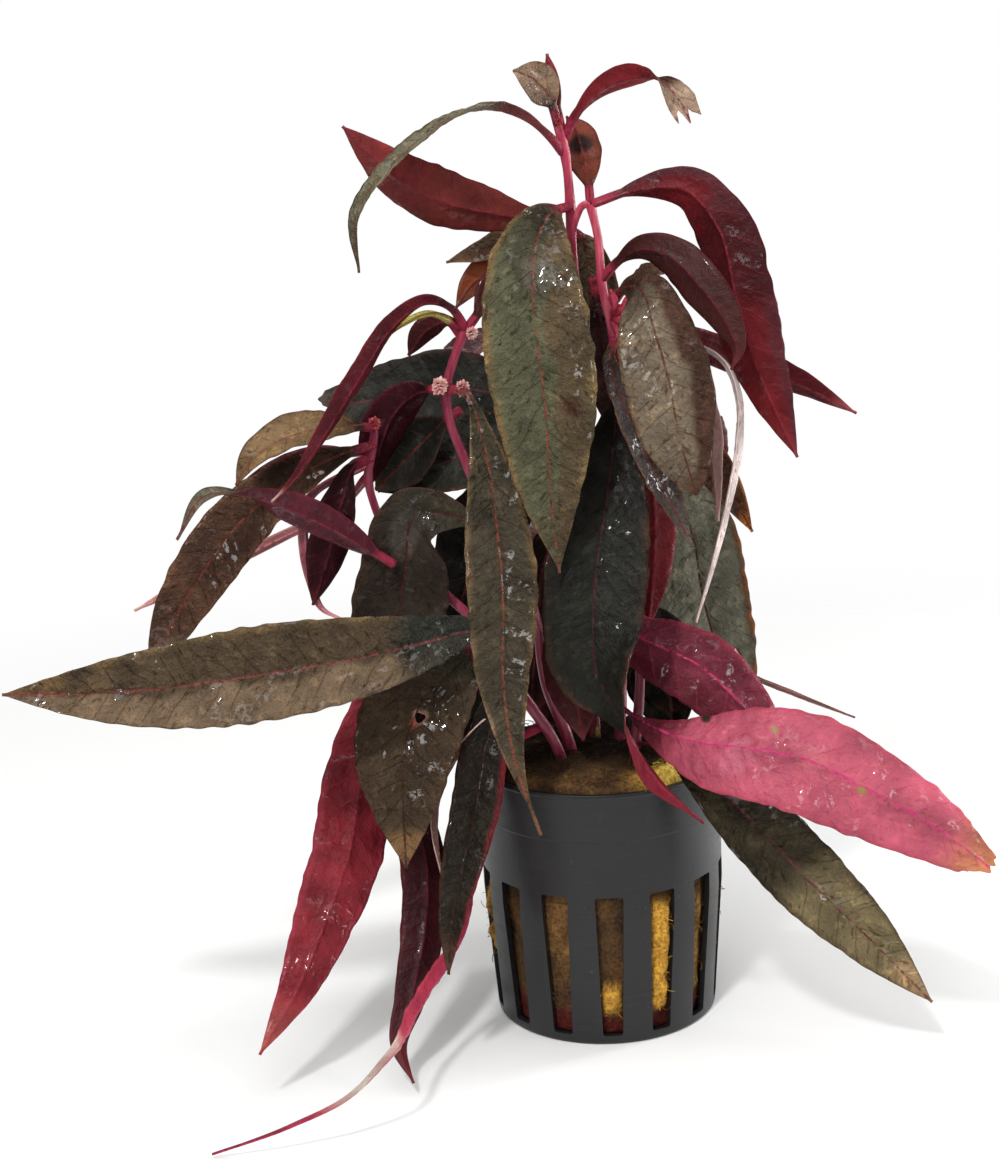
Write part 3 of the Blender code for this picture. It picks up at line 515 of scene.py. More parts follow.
# %% Routes of the right side and the middle
LEAVES.update({
    "leaf_edge_right": ("pale_pink", 6, 5, [
        (1.5, 137, 4, -60), (10, 138.5, 7, -70), (18.5, 138, 11, -80), (24.5, 134.5, 14, -82),
        (27.7, 127, 16, -80), (27.7, 117.5, 17, -78), (25, 102, 18, -80), (21.5, 88, 18, -80),
        (19, 79, 18, -80)]),
    "leaf_point_right": ("crimson", 7.5, 12, [
        (1.5, 135, 3, -150), (11, 140.5, -4, -150), (20.5, 137.3, -9, -150), (29, 134, -11, -148),
        (38.5, 130.5, -12, -145), (52.8, 123.3, -12, -145)]),
    "leaf_pale_right": ("pale_pink", 6.3, 6, [
        (2, 130.5, 3, -130), (11, 135, -1, -130), (18, 131.5, -3, -125), (21.5, 123, -4, -122),
        (22.8, 111.5, -4, -122), (23.6, 100.5, -4, -120)]),
    "leaf_dark_right": ("dark_green", 20, 10, [
        (3, 84, 2, 0), (7.5, 97, -7, 5), (13.3, 106, -12, 8), (17.4, 99.3, -15, 8),
        (20.4, 84, -16, 8), (25.1, 67, -17, 8), (29.3, 51.5, -18, 8)]),
    "leaf_magenta_mid": ("magenta", 15.5, 10, [
        (-4.5, 88, -2, 172), (-0.5, 81.5, 4, 172), (6, 76.2, 9, 172), (12.5, 73.2, 12, 172),
        (20, 69.5, 15, 172), (28, 62, 17, 172), (34.5, 55, 18, 172), (39, 49, 18, 172)]),
    "leaf_magenta_big": ("magenta", 20, 10, [
        (2.8, 61.5, 1, 172), (6.5, 58.5, 12, 172), (12.5, 55.5, 22, 172), (20.5, 53.2, 30, 172),
        (31.5, 52, 37, 172), (43, 49.6, 41, 172), (54.5, 44, 44, 172), (69.5, 35.6, 46, 172),
        (81.5, 26.8, 47, 172)]),
    "leaf_low_right": ("dark_green", 14.8, 8, [
        (6.5, 53.5, 7, 0), (12, 52.5, 15, 0), (20.1, 46.8, 26, 0), (30.6, 37.2, 29, 0),
        (41.9, 25.2, 31, 0), (54.8, 12.8, 32, 0), (68.8, -1.3, 33, 0)]),
    "leaf_mid_long": ("olive", 13.5, 9, [
        (-34, 128, 9, 0), (-30.5, 128, 13, 0), (-26, 116.5, 20, 0), (-23.5, 100.5, 25, 0),
        (-22, 84, 29, 0), (-22, 67, 32, 0), (-19.5, 50, 35, 0), (-14, 34, 37, 0)]),
    "leaf_mid_dark": ("dark_green", 20, 8, [
        (1.5, 130.5, 4, 0), (2, 126, 11, 0), (0.5, 109, 17, 0), (-2, 92, 23, 0), (-3, 79.5, 27, 0),
        (-2, 68, 30, 30), (3, 58.5, 33, 80), (10, 46, 35, 125), (20.5, 36.5, 37, 130)]),
    "leaf_red_sliver": ("crimson", 9, 6, [
        (2, 126, 3, 170), (7, 119.5, 2, 170), (10, 105, 1, 170), (10, 92, 0, 170), (8.5, 77, 0, 170)]),
    "leaf_glint_narrow": ("brown", 9, 14, [
        (1.5, 139, 4, -30), (0.5, 134, 12, -35), (4, 124, 17, -40), (9, 112.5, 20, -40),
        (14.5, 102, 21, -40), (18, 95, 21, -40)]),
    "leaf_low_centre": ("maroon", 12, 10, [
        (-7.5, 84, -2, 180), (-8, 78.5, 10, 180), (-7, 67, 16, 180), (-5, 54, 18, 180)]),
})
print(len(LEAVES), "leaves so far")

# %% [markdown]
# On the left they spread from the nodes of two slanting cuttings, and one broad leaf reaches far out
# to the side. The lowest hang past the rim of the pot, and one of them is a long narrow ribbon.

# %% Routes of the left side and the hanging leaves
LEAVES.update({
    "leaf_arch_left": ("crimson", 6, 8, [
        (-30, 141, 9, 125), (-33, 145.5, 13, 125), (-38.5, 147, 17, 122), (-45, 142.5, 20, 122),
        (-52, 132, 23, 122), (-59.5, 119.5, 25, 118), (-67, 108.5, 28, 110), (-71, 104.5, 29, 105)]),
    "leaf_droop_brown": ("brown", 12.3, 10, [
        (-49.5, 116.5, 5, 0), (-55.5, 114.8, 11, 0), (-65.3, 110, 13, 0), (-76, 101.8, 14, 0),
        (-85, 90.5, 15, 0), (-92.3, 78, 15, 0), (-96.5, 65.5, 14, 0)]),
    "leaf_short_brown": ("brown", 10, 12, [
        (-49, 120, 5, 35), (-55.5, 120.5, 12, 40), (-63, 119.5, 16, 40), (-70, 117, 19, 40),
        (-75.5, 113, 21, 40), (-78.5, 108, 22, 40)]),
    "leaf_under_left": ("maroon", 7.5, 8, [
        (-49.5, 115.5, 5, 160), (-58.5, 114, 2, 155), (-69, 110, 1, 150), (-79.5, 106, 1, 150)]),
    "leaf_tip_curl": ("crimson", 7.5, 10, [
        (-45, 91.2, 13.5, 150), (-50.5, 94.5, 14.5, 148), (-56.5, 98, 17, 145),
        (-67, 103, 21, 140), (-76, 106, 24, 95), (-85, 105.7, 26, 40), (-91, 96.5, 26, 30)]),
    "leaf_long_left": ("olive", 18.3, 9, [
        (-21, 71, 11, 0), (-29, 77, 17, 0), (-37.5, 75, 22, 0), (-48, 72.5, 26, 0),
        (-60.5, 70, 30, 0), (-77.5, 67.3, 34, 0), (-96.5, 64.8, 37, 0), (-113.5, 63.9, 39, 0),
        (-128, 63.7, 40, 0)]),
    "leaf_red_hang": ("magenta", 15, 10, [
        (-35.5, 86, 8, 170), (-41, 75.5, 0, 168), (-47.5, 62.5, 1.5, 166),
        (-52.3, 45.5, 10, 165), (-54.4, 31, 20, 165), (-59.4, 16.5, 29, 165),
        (-65, 2.5, 36, 165), (-73.5, -12.5, 43, 165)]),
    "leaf_holed": ("olive", 21, 8, [
        (-24.5, 75.5, 10, 0), (-32, 69.5, 13, 0), (-39.5, 61.5, 17, 0), (-43, 50.5, 21, 0),
        (-43, 40.5, 24, 0), (-42.5, 27, 26, 0)]),
    "leaf_dark_down": ("dark_green", 10, 10, [
        (-16.5, 61.5, 11, 0), (-21.5, 63.5, 14, 0), (-25.1, 55, 18, 0), (-27.7, 39.5, 22.5, 5),
        (-31.2, 24.5, 30, 10), (-33, 14, 34, 10), (-33.5, 4.5, 35, 10)]),
    "leaf_crimson_down": ("crimson", 10, 12, [
        (-20.5, 68, 11, 170), (-30.4, 62.5, 12, 165), (-38.4, 53.5, 14, 163),
        (-40.9, 41.5, 16, 160), (-38.2, 26.5, 18.5, 160), (-38.6, 14, 23, 160),
        (-41.6, -1, 31, 160), (-43.9, -10.5, 36, 160), (-40.9, -18.5, 41, 160)]),
    "leaf_ribbon": ("magenta", 6, 8, [
        (-13, 57.5, 10, 120), (-19.5, 53.5, 13.5, 115), (-25, 43, 15.5, 112), (-28.5, 27, 20.5, 112),
        (-30, 15, 25, 110), (-33, 8.5, 28, 108), (-36.7, 3, 34, 112), (-41, -4.4, 43, 112),
        (-46.4, -13.4, 58, 108), (-54.5, -21.4, 60, 100), (-66.5, -27.5, 61, 110), (-83.5, -33.5, 61, 110)]),
})
print(len(LEAVES), "leaves so far")

# %% [markdown]
# The last drawn leaves show between the others, most of them from behind, and close the gaps.

# %% Routes of the leaves between
LEAVES.update({
    "leaf_hang_maroon": ("maroon", 9.2, 8, [
        (-50, 113.5, 5, 150), (-53.5, 112.5, 8, 150), (-56.2, 105, 10, 150), (-58, 97.5, 11, 152),
        (-60.3, 89, 12, 150), (-62.2, 82.7, 12, 150)]),
    "leaf_pale_back": ("pale_pink", 5.5, 6, [
        (-50.5, 110, 5, 150), (-57.5, 102.5, -4, 150), (-68, 97.5, -6, 150), (-82, 90.5, -5, 150),
        (-93.5, 84.8, -4, 150), (-100, 81.5, -3, 150)]),
    "leaf_dark_back_left": ("dark_green", 16, 8, [
        (-6, 119.5, -1, 10), (-18.5, 126, -12, 10), (-31, 128.5, -15, 10), (-44, 127, -17, 12),
        (-54.5, 125.5, -18, 12), (-61, 125.5, -18, 12)]),
    "leaf_maroon_left": ("maroon", 10, 10, [
        (-34, 128, 9, 150), (-39.5, 128, 5, 150), (-45, 123.5, 2, 150), (-48, 116.5, 1, 150),
        (-50, 108, 1, 150)]),
    "leaf_dark_behind": ("dark_green", 18, 10, [
        (-6, 113, -2, 5), (-14, 112, -10, 5), (-22, 104, -13, 5), (-28, 92, -14, 5), (-32, 79, -14, 5),
        (-34, 68, -13, 5)]),
    "leaf_dark_blade": ("dark_green", 18.5, 10, [
        (-5.5, 105, -2, 20), (-18.5, 114, -3, 20), (-30, 114.3, -4, 25), (-39.5, 110.8, -5, 30),
        (-48.5, 106.7, -6, 30)]),
    "leaf_mid_left": ("olive", 19, 10, [
        (-24.5, 97.5, 9, 10), (-31.5, 101.5, 12, 10), (-40, 101.7, 12, 5), (-42.8, 90, 11, 0),
        (-44.2, 77.5, 9, 0), (-45, 64.5, 7.5, 0), (-45, 54, 6.5, 0)]),
    "leaf_brown_upper": ("brown", 7.2, 10, [
        (-6.5, 149.5, 0, 30), (-12.5, 159.3, -3, 30), (-18.5, 160.2, -4, 30), (-24.5, 157.8, -3, 32),
        (-34, 155.2, -2, 40)]),
    "leaf_rust_upper": ("maroon", 8.5, 10, [
        (-6.5, 147, 0, 150), (-12, 155.5, -5, 150), (-18.5, 156, -6, 150), (-23.5, 154, -5, 150),
        (-28.5, 150.5, -4, 150), (-32, 145.5, -3, 150)]),
    "leaf_side_left": ("maroon", 5, 8, [
        (-30.5, 139, 9, 150), (-34, 142.8, 7, 150), (-38, 141.2, 6, 150), (-42, 135.5, 5, 150)]),
    "leaf_deep_right": ("dark_green", 14, 8, [
        (3, 80, 1, 10), (7, 80, -4, 10), (11, 75.5, -8, 8), (13, 67.5, -9.5, 5), (14, 60, -10, 5)]),
    "leaf_deep_left": ("maroon", 11.5, 8, [
        (-5, 103, -3, 0), (-9, 101, -7, 0), (-13, 93, -9, 0), (-14.5, 81, -10, 0), (-15.5, 69, -9.5, 0),
        (-16, 60, -9, 0)]),
})
print(len(LEAVES), "drawn leaves")

# %% [markdown]
# A few leaves have a torn tip, given as the share that is gone, or an outline of their own. The
# drawing can't show the far side, so its leaves follow the plant's habit: a look, a width and a
# length, the stem and the height that they leave it at, a heading, a climb and a droop.

# %% Torn tips, outlines and the far side
TORN_TIPS = {"leaf_magenta_big": 0.13, "leaf_crown_right": 0.20, "leaf_dark_back_left": 0.08}
BLADE_SHAPES = {
    "leaf_magenta_big": (1.4, 1.45),
    "leaf_mid_long": (1.7, 2.0),
    "leaf_mid_dark": (1.3, 1.7),
    "leaf_right_broad": (0.95, 0.75),
    "leaf_front_broad": (1.0, 1.15),
    "leaf_holed": (0.8, 1.1),
    "leaf_tip_curl": (0.7, 1.1),
    "leaf_dark_down": (0.6, 0.9),
    "leaf_behind_broad": (0.8, 0.6),
    "leaf_deep_right": (0.8, 0.5),
    "leaf_deep_left": (0.8, 0.5),
}

BACK_LEAVES = {
    "leaf_back_upper_right": ("brown", 13, 58, "stem_right", 147, 38, 0.45, 1.0),
    "leaf_back_upper_left": ("olive", 14, 60, "stem_main", 136, 128, 0.40, 1.1),
    "leaf_back_middle": ("dark_green", 16, 66, "stem_main", 128, 88, 0.40, 1.0),
    "leaf_back_middle_right": ("brown", 15, 64, "stem_right", 118, 62, 0.40, 1.1),
    "leaf_back_middle_left": ("crimson", 14, 60, "stem_main", 98, 96, 0.25, 1.0),
    "leaf_back_low_right": ("olive", 16, 68, "stem_right", 104, 94, 0.35, 1.0),
    "leaf_back_low": ("dark_green", 17, 72, "stem_main", 82, 84, 0.35, 1.2),
}
print(len(TORN_TIPS), "torn tips and", len(BACK_LEAVES), "leaves of the far side")

# %% [markdown]
# A smooth curve runs through the points of each route. It could be a Bezier curve object, but every
# blade needs the curve's numbers at many places, so it is worked out directly.


# %% Smooth curves
def unit(vectors):
    """Scale each vector to a length of one."""
    return vectors / np.linalg.norm(vectors, axis=-1, keepdims=True)


def rise(values, low, high):
    """Rise smoothly from 0 to 1 while the values go from low to high."""
    share = np.clip((values - low) / (high - low), 0, 1)
    return share * share * (3 - 2 * share)


def smooth_curve(points, samples_per_span=16):
    """Draw a smooth curve through the points: its samples, their distances along it, and the points' own."""
    points = np.array(points, dtype=float)
    chords = np.linalg.norm(np.diff(points, axis=0), axis=1)
    knots = np.concatenate([[0.0], np.cumsum(chords)])
    slopes = np.gradient(points, knots, axis=0)
    samples = [points[:1]]
    share = np.linspace(0, 1, samples_per_span + 1)[1:, None]
    for index, span in enumerate(chords):
        start_weight = 2 * share**3 - 3 * share**2 + 1
        start_pull = (share**3 - 2 * share**2 + share) * span
        end_pull = (share**3 - share**2) * span
        samples.append(start_weight * points[index] + (1 - start_weight) * points[index + 1]
                       + start_pull * slopes[index] + end_pull * slopes[index + 1])
    samples = np.concatenate(samples)
    distances = np.concatenate([[0.0], np.cumsum(np.linalg.norm(np.diff(samples, axis=0), axis=1))])
    return samples, distances, distances[::samples_per_span]


def along(distances, samples, wanted):
    """Read a sampled curve at the wanted distances."""
    return np.stack([np.interp(wanted, distances, samples[:, axis]) for axis in range(3)], axis=1)


def soften(values, spread):
    """Average rows of vectors with a bell-shaped window of that many rows."""
    reach = max(1, int(3 * spread))
    window = np.exp(-0.5 * (np.arange(-reach, reach + 1) / spread) ** 2)
    padded = np.pad(values, ((reach, reach), (0, 0)), mode="edge")
    kept = [np.convolve(padded[:, axis], window / window.sum(), "valid") for axis in range(3)]
    return np.stack(kept, axis=1)


arc_points, arc_distances, _ = smooth_curve([(0, 0, 0), (0, 1, 0), (1, 1, 0)])
print("A curve through three points has", len(arc_points), "samples, length", arc_distances[-1].round(2))

# %% [markdown]
# A blade's turn is measured from the way that its upper face looks unturned: to the viewpoint for a
# drawn leaf, upwards for one of the far side.

# %% Which way a leaf looks
FACE_LIFT = 0.15


def on_drawing(points):
    """Find where points are seen on the drawing, across and up."""
    rays = points - EYE
    seen = EYE + rays * (-(EYE @ SIGHT) / (rays @ SIGHT))[..., None]
    return seen @ RIGHT, seen @ UP


def towards_eye(points):
    """Directions from the points to the viewpoint, lifted a little as the solids' are."""
    return unit(EYE - points) + np.array([0.0, 0.0, FACE_LIFT])


def upwards(points):
    """The upward direction at each point."""
    return np.tile(np.array([0.0, 0.0, 1.0]), (len(points), 1))


print("A point on the pot's axis 100 mm up is drawn at", on_drawing(np.array([[0.0, 0.0, 100.0]])))

# %% [markdown]
# A blade widens from the petiole and runs out to a fine tip. Two powers give every such outline: a
# higher first one draws out the end at the stem, a higher second one the tip. Nothing on a leaf is
# regular, so slow waves in random directions are summed wherever it is uneven.

# %% Outline and unevenness
PETIOLE_HALF = 0.9
TIP_HALF = 0.3
BLADE_POWERS = (1.1, 1.0)


def half_widths(shares, width, powers):
    """Half the width of a joyweed leaf along its length, from the two powers of its outline."""
    base_power, tip_power = powers
    widest = base_power / (base_power + tip_power)
    outline = shares**base_power * (1 - shares)**tip_power
    peak = widest**base_power * (1 - widest)**tip_power
    return np.maximum(outline / peak * width / 2, np.interp(shares, [0, 1], [PETIOLE_HALF, TIP_HALF]))


def uneven(rng, first, second, longest, count=6):
    """Sum slow waves in random directions over two coordinates in mm. The sum lies about within 1."""
    total = np.zeros(np.broadcast(first, second).shape)
    for _ in range(count):
        heading = rng.uniform(0, math.tau)
        wavelength = longest * rng.uniform(0.4, 1.0)
        phase = (first * math.cos(heading) + second * math.sin(heading)) / wavelength
        total = total + np.sin(math.tau * phase + rng.uniform(0, math.tau))
    return total / math.sqrt(count)


print("Halfway along, a blade 20 mm wide measures", round(2 * half_widths(0.5, 20, BLADE_POWERS), 1), "mm")

# %% [markdown]
# A leaf is darker near the stem and paler or rustier at its tip and margin. No two blades have the
# same shape, so these slow changes are painted on the vertices instead of an image.

# %% Painting a blade
PETIOLE_COLOUR = (0.26, 0.024, 0.050)
STALK_SHARE = 0.06
BEFORE_THE_STEM = -0.2


def mixed(first, second, share):
    """Mix two colours by a share for each point."""
    return np.asarray(first) * (1 - share[..., None]) + np.asarray(second) * share[..., None]


def blade_colours(look, share, across, patches, seen):
    """Paint both faces: the slow changes of colour along and across a blade, and spots on the drawing."""
    edge = rise(np.abs(across), 0.78, 0.99)
    top = mixed(look["inner"], look["upper"], rise(share + 0.06 * patches, 0.06, 0.34))
    top = mixed(top, look["tip"], rise(share + 0.05 * patches, 0.80, 1.0))
    top = mixed(top, look["margin"], edge * (0.65 + 0.3 * patches).clip(0, 1))
    under = mixed(np.asarray(look["under"]) * 0.6, look["under"], rise(share, 0.0, 0.25))
    under = mixed(under, look["tip"], rise(share, 0.86, 1.0) * 0.7)
    under = mixed(under, look["margin"], edge * 0.4)
    # Bands, zones and spots paint a leaf's own marks, and on some leaves also painted shade and painted
    # highlights.
    for side, start, colour in look.get("bands", ()):
        band = rise(across * side + 0.10 * patches, start, start + 0.25)
        top = mixed(top, colour, band)
        under = mixed(under, colour, band * 0.7)
    for start, end, colour in look.get("lengths", ()):
        start = start or BEFORE_THE_STEM
        zone = rise(share + 0.03 * patches, start, start + 0.10) * (1 - rise(share, end - 0.10, end))
        top = mixed(top, colour, zone * 0.85)
        under = mixed(under, colour, zone * 0.85)
    for spot_across, spot_up, size, colour in look.get("spots", ()):
        gap = np.hypot(seen[0] - spot_across, seen[1] - spot_up)
        spot = 1 - rise(gap + 0.3 * size * patches, size * 0.5, size)
        top = mixed(top, colour, spot)
        under = mixed(under, colour, spot)
    stalk = 1 - rise(share + 0.01 * patches, 0.0, STALK_SHARE)
    wear = (1 + 0.16 * patches)[..., None]
    return mixed(top, PETIOLE_COLOUR, stalk) * wear, mixed(under, PETIOLE_COLOUR, stalk) * wear


print("A blade is painted like its petiole over", STALK_SHARE, "of its length")

# %% [markdown]
# One leaf has a hole with a bleached rim. A boolean would leave ragged slivers in so thin a sheet.
# Leaving out the cells inside the rim, and drawing the nearest points up to it, gives a clean edge.

# %% A hole in a leaf
HOLE_RIM = (0.40, 0.20, 0.15)
RIM_REACH = 0.36


def open_hole(hole, faces_of_sheet, colours):
    """Find the cells that a hole leaves, draw the grid up to its rim and bleach the rim."""
    seen_across, seen_up = on_drawing(faces_of_sheet[0])
    aside, higher = seen_across - hole[0], seen_up - hole[1]
    gap = np.hypot(aside, higher)
    edge = hole[2] * (1 + 0.18 * np.sin(3 * np.arctan2(higher, aside) + 1))
    near = np.abs(gap - edge) < RIM_REACH
    pull = np.where(near, edge / np.maximum(gap, 0.01) - 1, 0)
    for sheet in faces_of_sheet:
        sheet += (aside * pull)[..., None] * RIGHT + (higher * pull)[..., None] * UP
    rim = 1 - rise(gap, edge + 0.25, edge + 0.75)
    painted = [mixed(colour, HOLE_RIM, rim) for colour in colours]
    outside = (gap >= edge) | near
    kept = outside[:-1, :-1] & outside[1:, :-1] & outside[:-1, 1:] & outside[1:, 1:]
    return kept, painted


print("Points within", RIM_REACH, "mm of the rim of a hole are drawn up to it")

# %% [markdown]
# Both faces of a leaf are worked out on one fine grid. Walls close it along every free edge, which
# gives torn ends and holes their own walls too.


# %% Closing the sheet
def sheet_faces(kept):
    """List the faces of both sides of the kept cells and of the walls along their free edges."""
    rows, columns = kept.shape[0] + 1, kept.shape[1] + 1
    under = rows * columns
    row, column = np.nonzero(kept)
    corners = [row * columns + column, row * columns + column + 1,
               (row + 1) * columns + column + 1, (row + 1) * columns + column]
    top = np.stack(corners, axis=1)
    bottom = np.stack(corners[::-1], axis=1) + under
    framed = np.pad(kept, 1)
    walls = []
    for index, (down, side) in enumerate(((-1, 0), (0, 1), (1, 0), (0, -1))):
        free = ~framed[row + 1 + down, column + 1 + side]
        start, end = corners[index][free], corners[(index + 1) % 4][free]
        walls.append(np.stack([end, start, start + under, end + under], axis=1))
    walls = np.concatenate(walls)
    kinds = np.concatenate([np.zeros(len(top)), np.ones(len(bottom) + len(walls))]).astype(int)
    return np.concatenate([top, bottom, walls]), kinds


def mesh_from(name, points, faces, kinds, layers, materials):
    """Make a smooth mesh from arrays in mm, dropping unused points, with colour and vector layers."""
    used, renumbered = np.unique(faces, return_inverse=True)
    mesh = bpy.data.meshes.new(name)
    mesh.from_pydata((points[used] * MM).tolist(), [], renumbered.reshape(faces.shape).tolist())
    for layer, (kind, values) in layers.items():
        attribute = mesh.attributes.new(layer, kind, "POINT")
        flat = values[used]
        if kind == "FLOAT_COLOR":
            flat = np.concatenate([flat.clip(0, 1), np.ones((len(flat), 1))], axis=1)
            attribute.data.foreach_set("color", flat.ravel())
        else:
            attribute.data.foreach_set("vector", flat.ravel())
    for material in materials:
        mesh.materials.append(material)
    mesh.polygons.foreach_set("material_index", kinds)
    mesh.shade_smooth()
    mesh.update()
    piece = bpy.data.objects.new(name, mesh)
    bpy.context.scene.collection.objects.link(piece)
    return piece


print("One cell of a sheet has", len(sheet_faces(np.ones((1, 1), dtype=bool))[0]), "faces once it is closed")

# %% [markdown]
# A leaf carries a frame along its route: the way it grows, the way its upper face looks, and the way
# across it. Each is softened, because a tight bend would fold a wide blade through itself.

# %% The frame of a leaf
ROW_STEP = 0.55
FRAME_SOFTNESS = 0.28
TURN_SOFTNESS = 4


def blade_frame(points, turns, facing, width):
    """Carry a leaf's frame along its route: mm from the stem, places, and the three directions."""
    samples, distances, own = smooth_curve(points)
    reached = np.linspace(0, distances[-1], int(distances[-1] / ROW_STEP) + 2)
    spine = along(distances, samples, reached)
    tangents = unit(soften(np.gradient(spine, axis=0), FRAME_SOFTNESS * width / ROW_STEP))
    towards = facing(spine)
    face = unit(towards - tangents * (towards * tangents).sum(axis=1, keepdims=True))
    turn = np.radians(np.interp(reached, own, turns))[:, None]
    turned = face * np.cos(turn) + np.cross(tangents, face) * np.sin(turn)
    normals = unit(soften(turned, TURN_SOFTNESS))
    return reached, spine, tangents, normals, unit(np.cross(tangents, normals))


print("A leaf has a frame every", ROW_STEP, "mm")

# %% [markdown]
# The halves fold up from the midrib, and their margins curl and wave. Between the side veins the blade
# swells into low blisters, and puckers of two sizes run over it. It is geometry, not bump, because it
# changes the outline and what catches the light. It fades out where the blade is narrow.

# %% Puckers, waves and the fold
MARGIN_CURL = 0.05
BLISTER_SHARE = 0.6
PUCKER_SHARE = 0.55
WAVE_LENGTH = 14.0
PUCKER_WAVES = ((7.0, 6), (3.6, 9))


def blade_relief(rng, look, fold, down, across, half, full, phase):
    """Height of the middle of the sheet above its frame, in mm."""
    aside = half * across
    blister = np.abs(np.sin(math.pi * phase)) ** 0.75 - 0.5
    blister = blister * rise(np.abs(aside), 0.3, 1.8) * (1 - 0.95 * across**4)
    beat = uneven(rng, down, 30.0 * np.sign(across), WAVE_LENGTH, 4)
    height = np.abs(aside) * math.sin(math.radians(fold)) + MARGIN_CURL * half * across**4
    height = height + full * look["quilt"] * BLISTER_SHARE * blister
    height = height + full * look["wave"] * beat * np.abs(across) ** 2.5
    for longest, count in PUCKER_WAVES:
        height = height + full * look["quilt"] * PUCKER_SHARE * uneven(rng, down, aside, longest, count)
    return height


print("The puckers are up to", " and ".join(str(longest) for longest, _ in PUCKER_WAVES), "mm long")

# %% [markdown]
# A leaf is paper-thin at its margin. Its midrib stands out below under a shallow groove, fine ridges
# mark the side veins, and at the stem it all turns into a round stalk. A Solidify modifier would give
# one thickness all over, so each face gets its own distance from the middle.

# %% How thick a leaf is
PETIOLE_LENGTH = 3.0
BLADE_HALF = 0.12
MARGIN_HALF = 0.05
RIDGE_HEIGHT = 0.10
GROOVE_DEPTH = 0.16
GROOVE_HALF = 0.45


def blade_thickness(reached, share, across, aside, full, phase):
    """How far the two faces lie above and below the middle of the sheet, in mm."""
    petiole = 1 - rise(reached, PETIOLE_LENGTH * 0.6, PETIOLE_LENGTH + 6)[:, None]
    rib_width = 0.85 - 0.5 * share
    rib = (0.62 - 0.45 * share) * np.exp(-(aside / rib_width) ** 2)
    ridge = 1 - rise(np.abs(np.sin(math.pi * phase)), 0.0, 0.3)
    ridge = RIDGE_HEIGHT * full * ridge * (1 - across**2)
    thin = MARGIN_HALF + (BLADE_HALF - MARGIN_HALF) * (1 - across**2)
    stalk = PETIOLE_HALF * np.sqrt(1 - 0.9 * across**2)
    groove = GROOVE_DEPTH * full * np.exp(-(aside / GROOVE_HALF) ** 2)
    above = petiole * stalk + (1 - petiole) * (thin - groove)
    below = petiole * stalk + (1 - petiole) * (thin + rib + ridge)
    return above, below


print("A blade is", 2 * BLADE_HALF, "mm thick beside its midrib and", 2 * MARGIN_HALF, "mm at its margin")

# %% [markdown]
# Now a leaf can be grown on its grid, whose columns crowd near the midrib, where its shape changes
# most. The count of side veins, the phase, is shared by the blisters, the ridges and the finish. The
# random numbers start from the leaf's name, so every leaf differs and every run gives the same plant.

# %% One leaf
COLUMN_STEP = 0.6
FEWEST_COLUMNS = 4
MOST_COLUMNS = 16
COLUMN_CROWDING = 1.35
VEIN_SPACING = 5.2
VEIN_SLANT = 0.75
VEIN_OFFSET = 0.4
VEIN_WANDER = 0.22
MARGIN_WAVER = 0.02
TORN_LENGTH = 9
GROUND_GAP = 0.08
UNTRIMMED = ((0, 1), (1, 1))


def columns_across(width):
    """Places of the grid's columns, from -1 to 1 across a blade."""
    even = np.linspace(-1, 1, 2 * int(np.clip(width / 2 / COLUMN_STEP, FEWEST_COLUMNS, MOST_COLUMNS)) + 1)
    return (np.sign(even) * np.abs(even) ** COLUMN_CROWDING)[None, :]


def torn_back(rng, torn, aside, down, length):
    """How far the end of a torn leaf is drawn back, raggedly, in mm."""
    tear = torn * (1.6 + 1.0 * uneven(rng, aside, 0.0, 6.0) + 0.5 * uneven(rng, aside, 0.0, 2.2)) / 0.09
    return tear * rise(down, length - TORN_LENGTH, length)


def blade_layers(look, down, aside, phase, colours):
    """What the finish reads on each point: painted colours, vein colours, gloss and the leaf's measures."""
    place = np.stack([look["gloss"] + 0 * down, aside, phase], axis=-1).reshape(-1, 3)
    veins = [np.tile(np.asarray(look[key]), (down.size, 1)) for key in ("rib", "under_rib")]
    return {
        "blade_colour": ("FLOAT_COLOR", np.concatenate([colour.reshape(-1, 3) for colour in colours])),
        "vein_colour": ("FLOAT_COLOR", np.concatenate(veins)),
        "blade": ("FLOAT_VECTOR", np.concatenate([place, place]))}


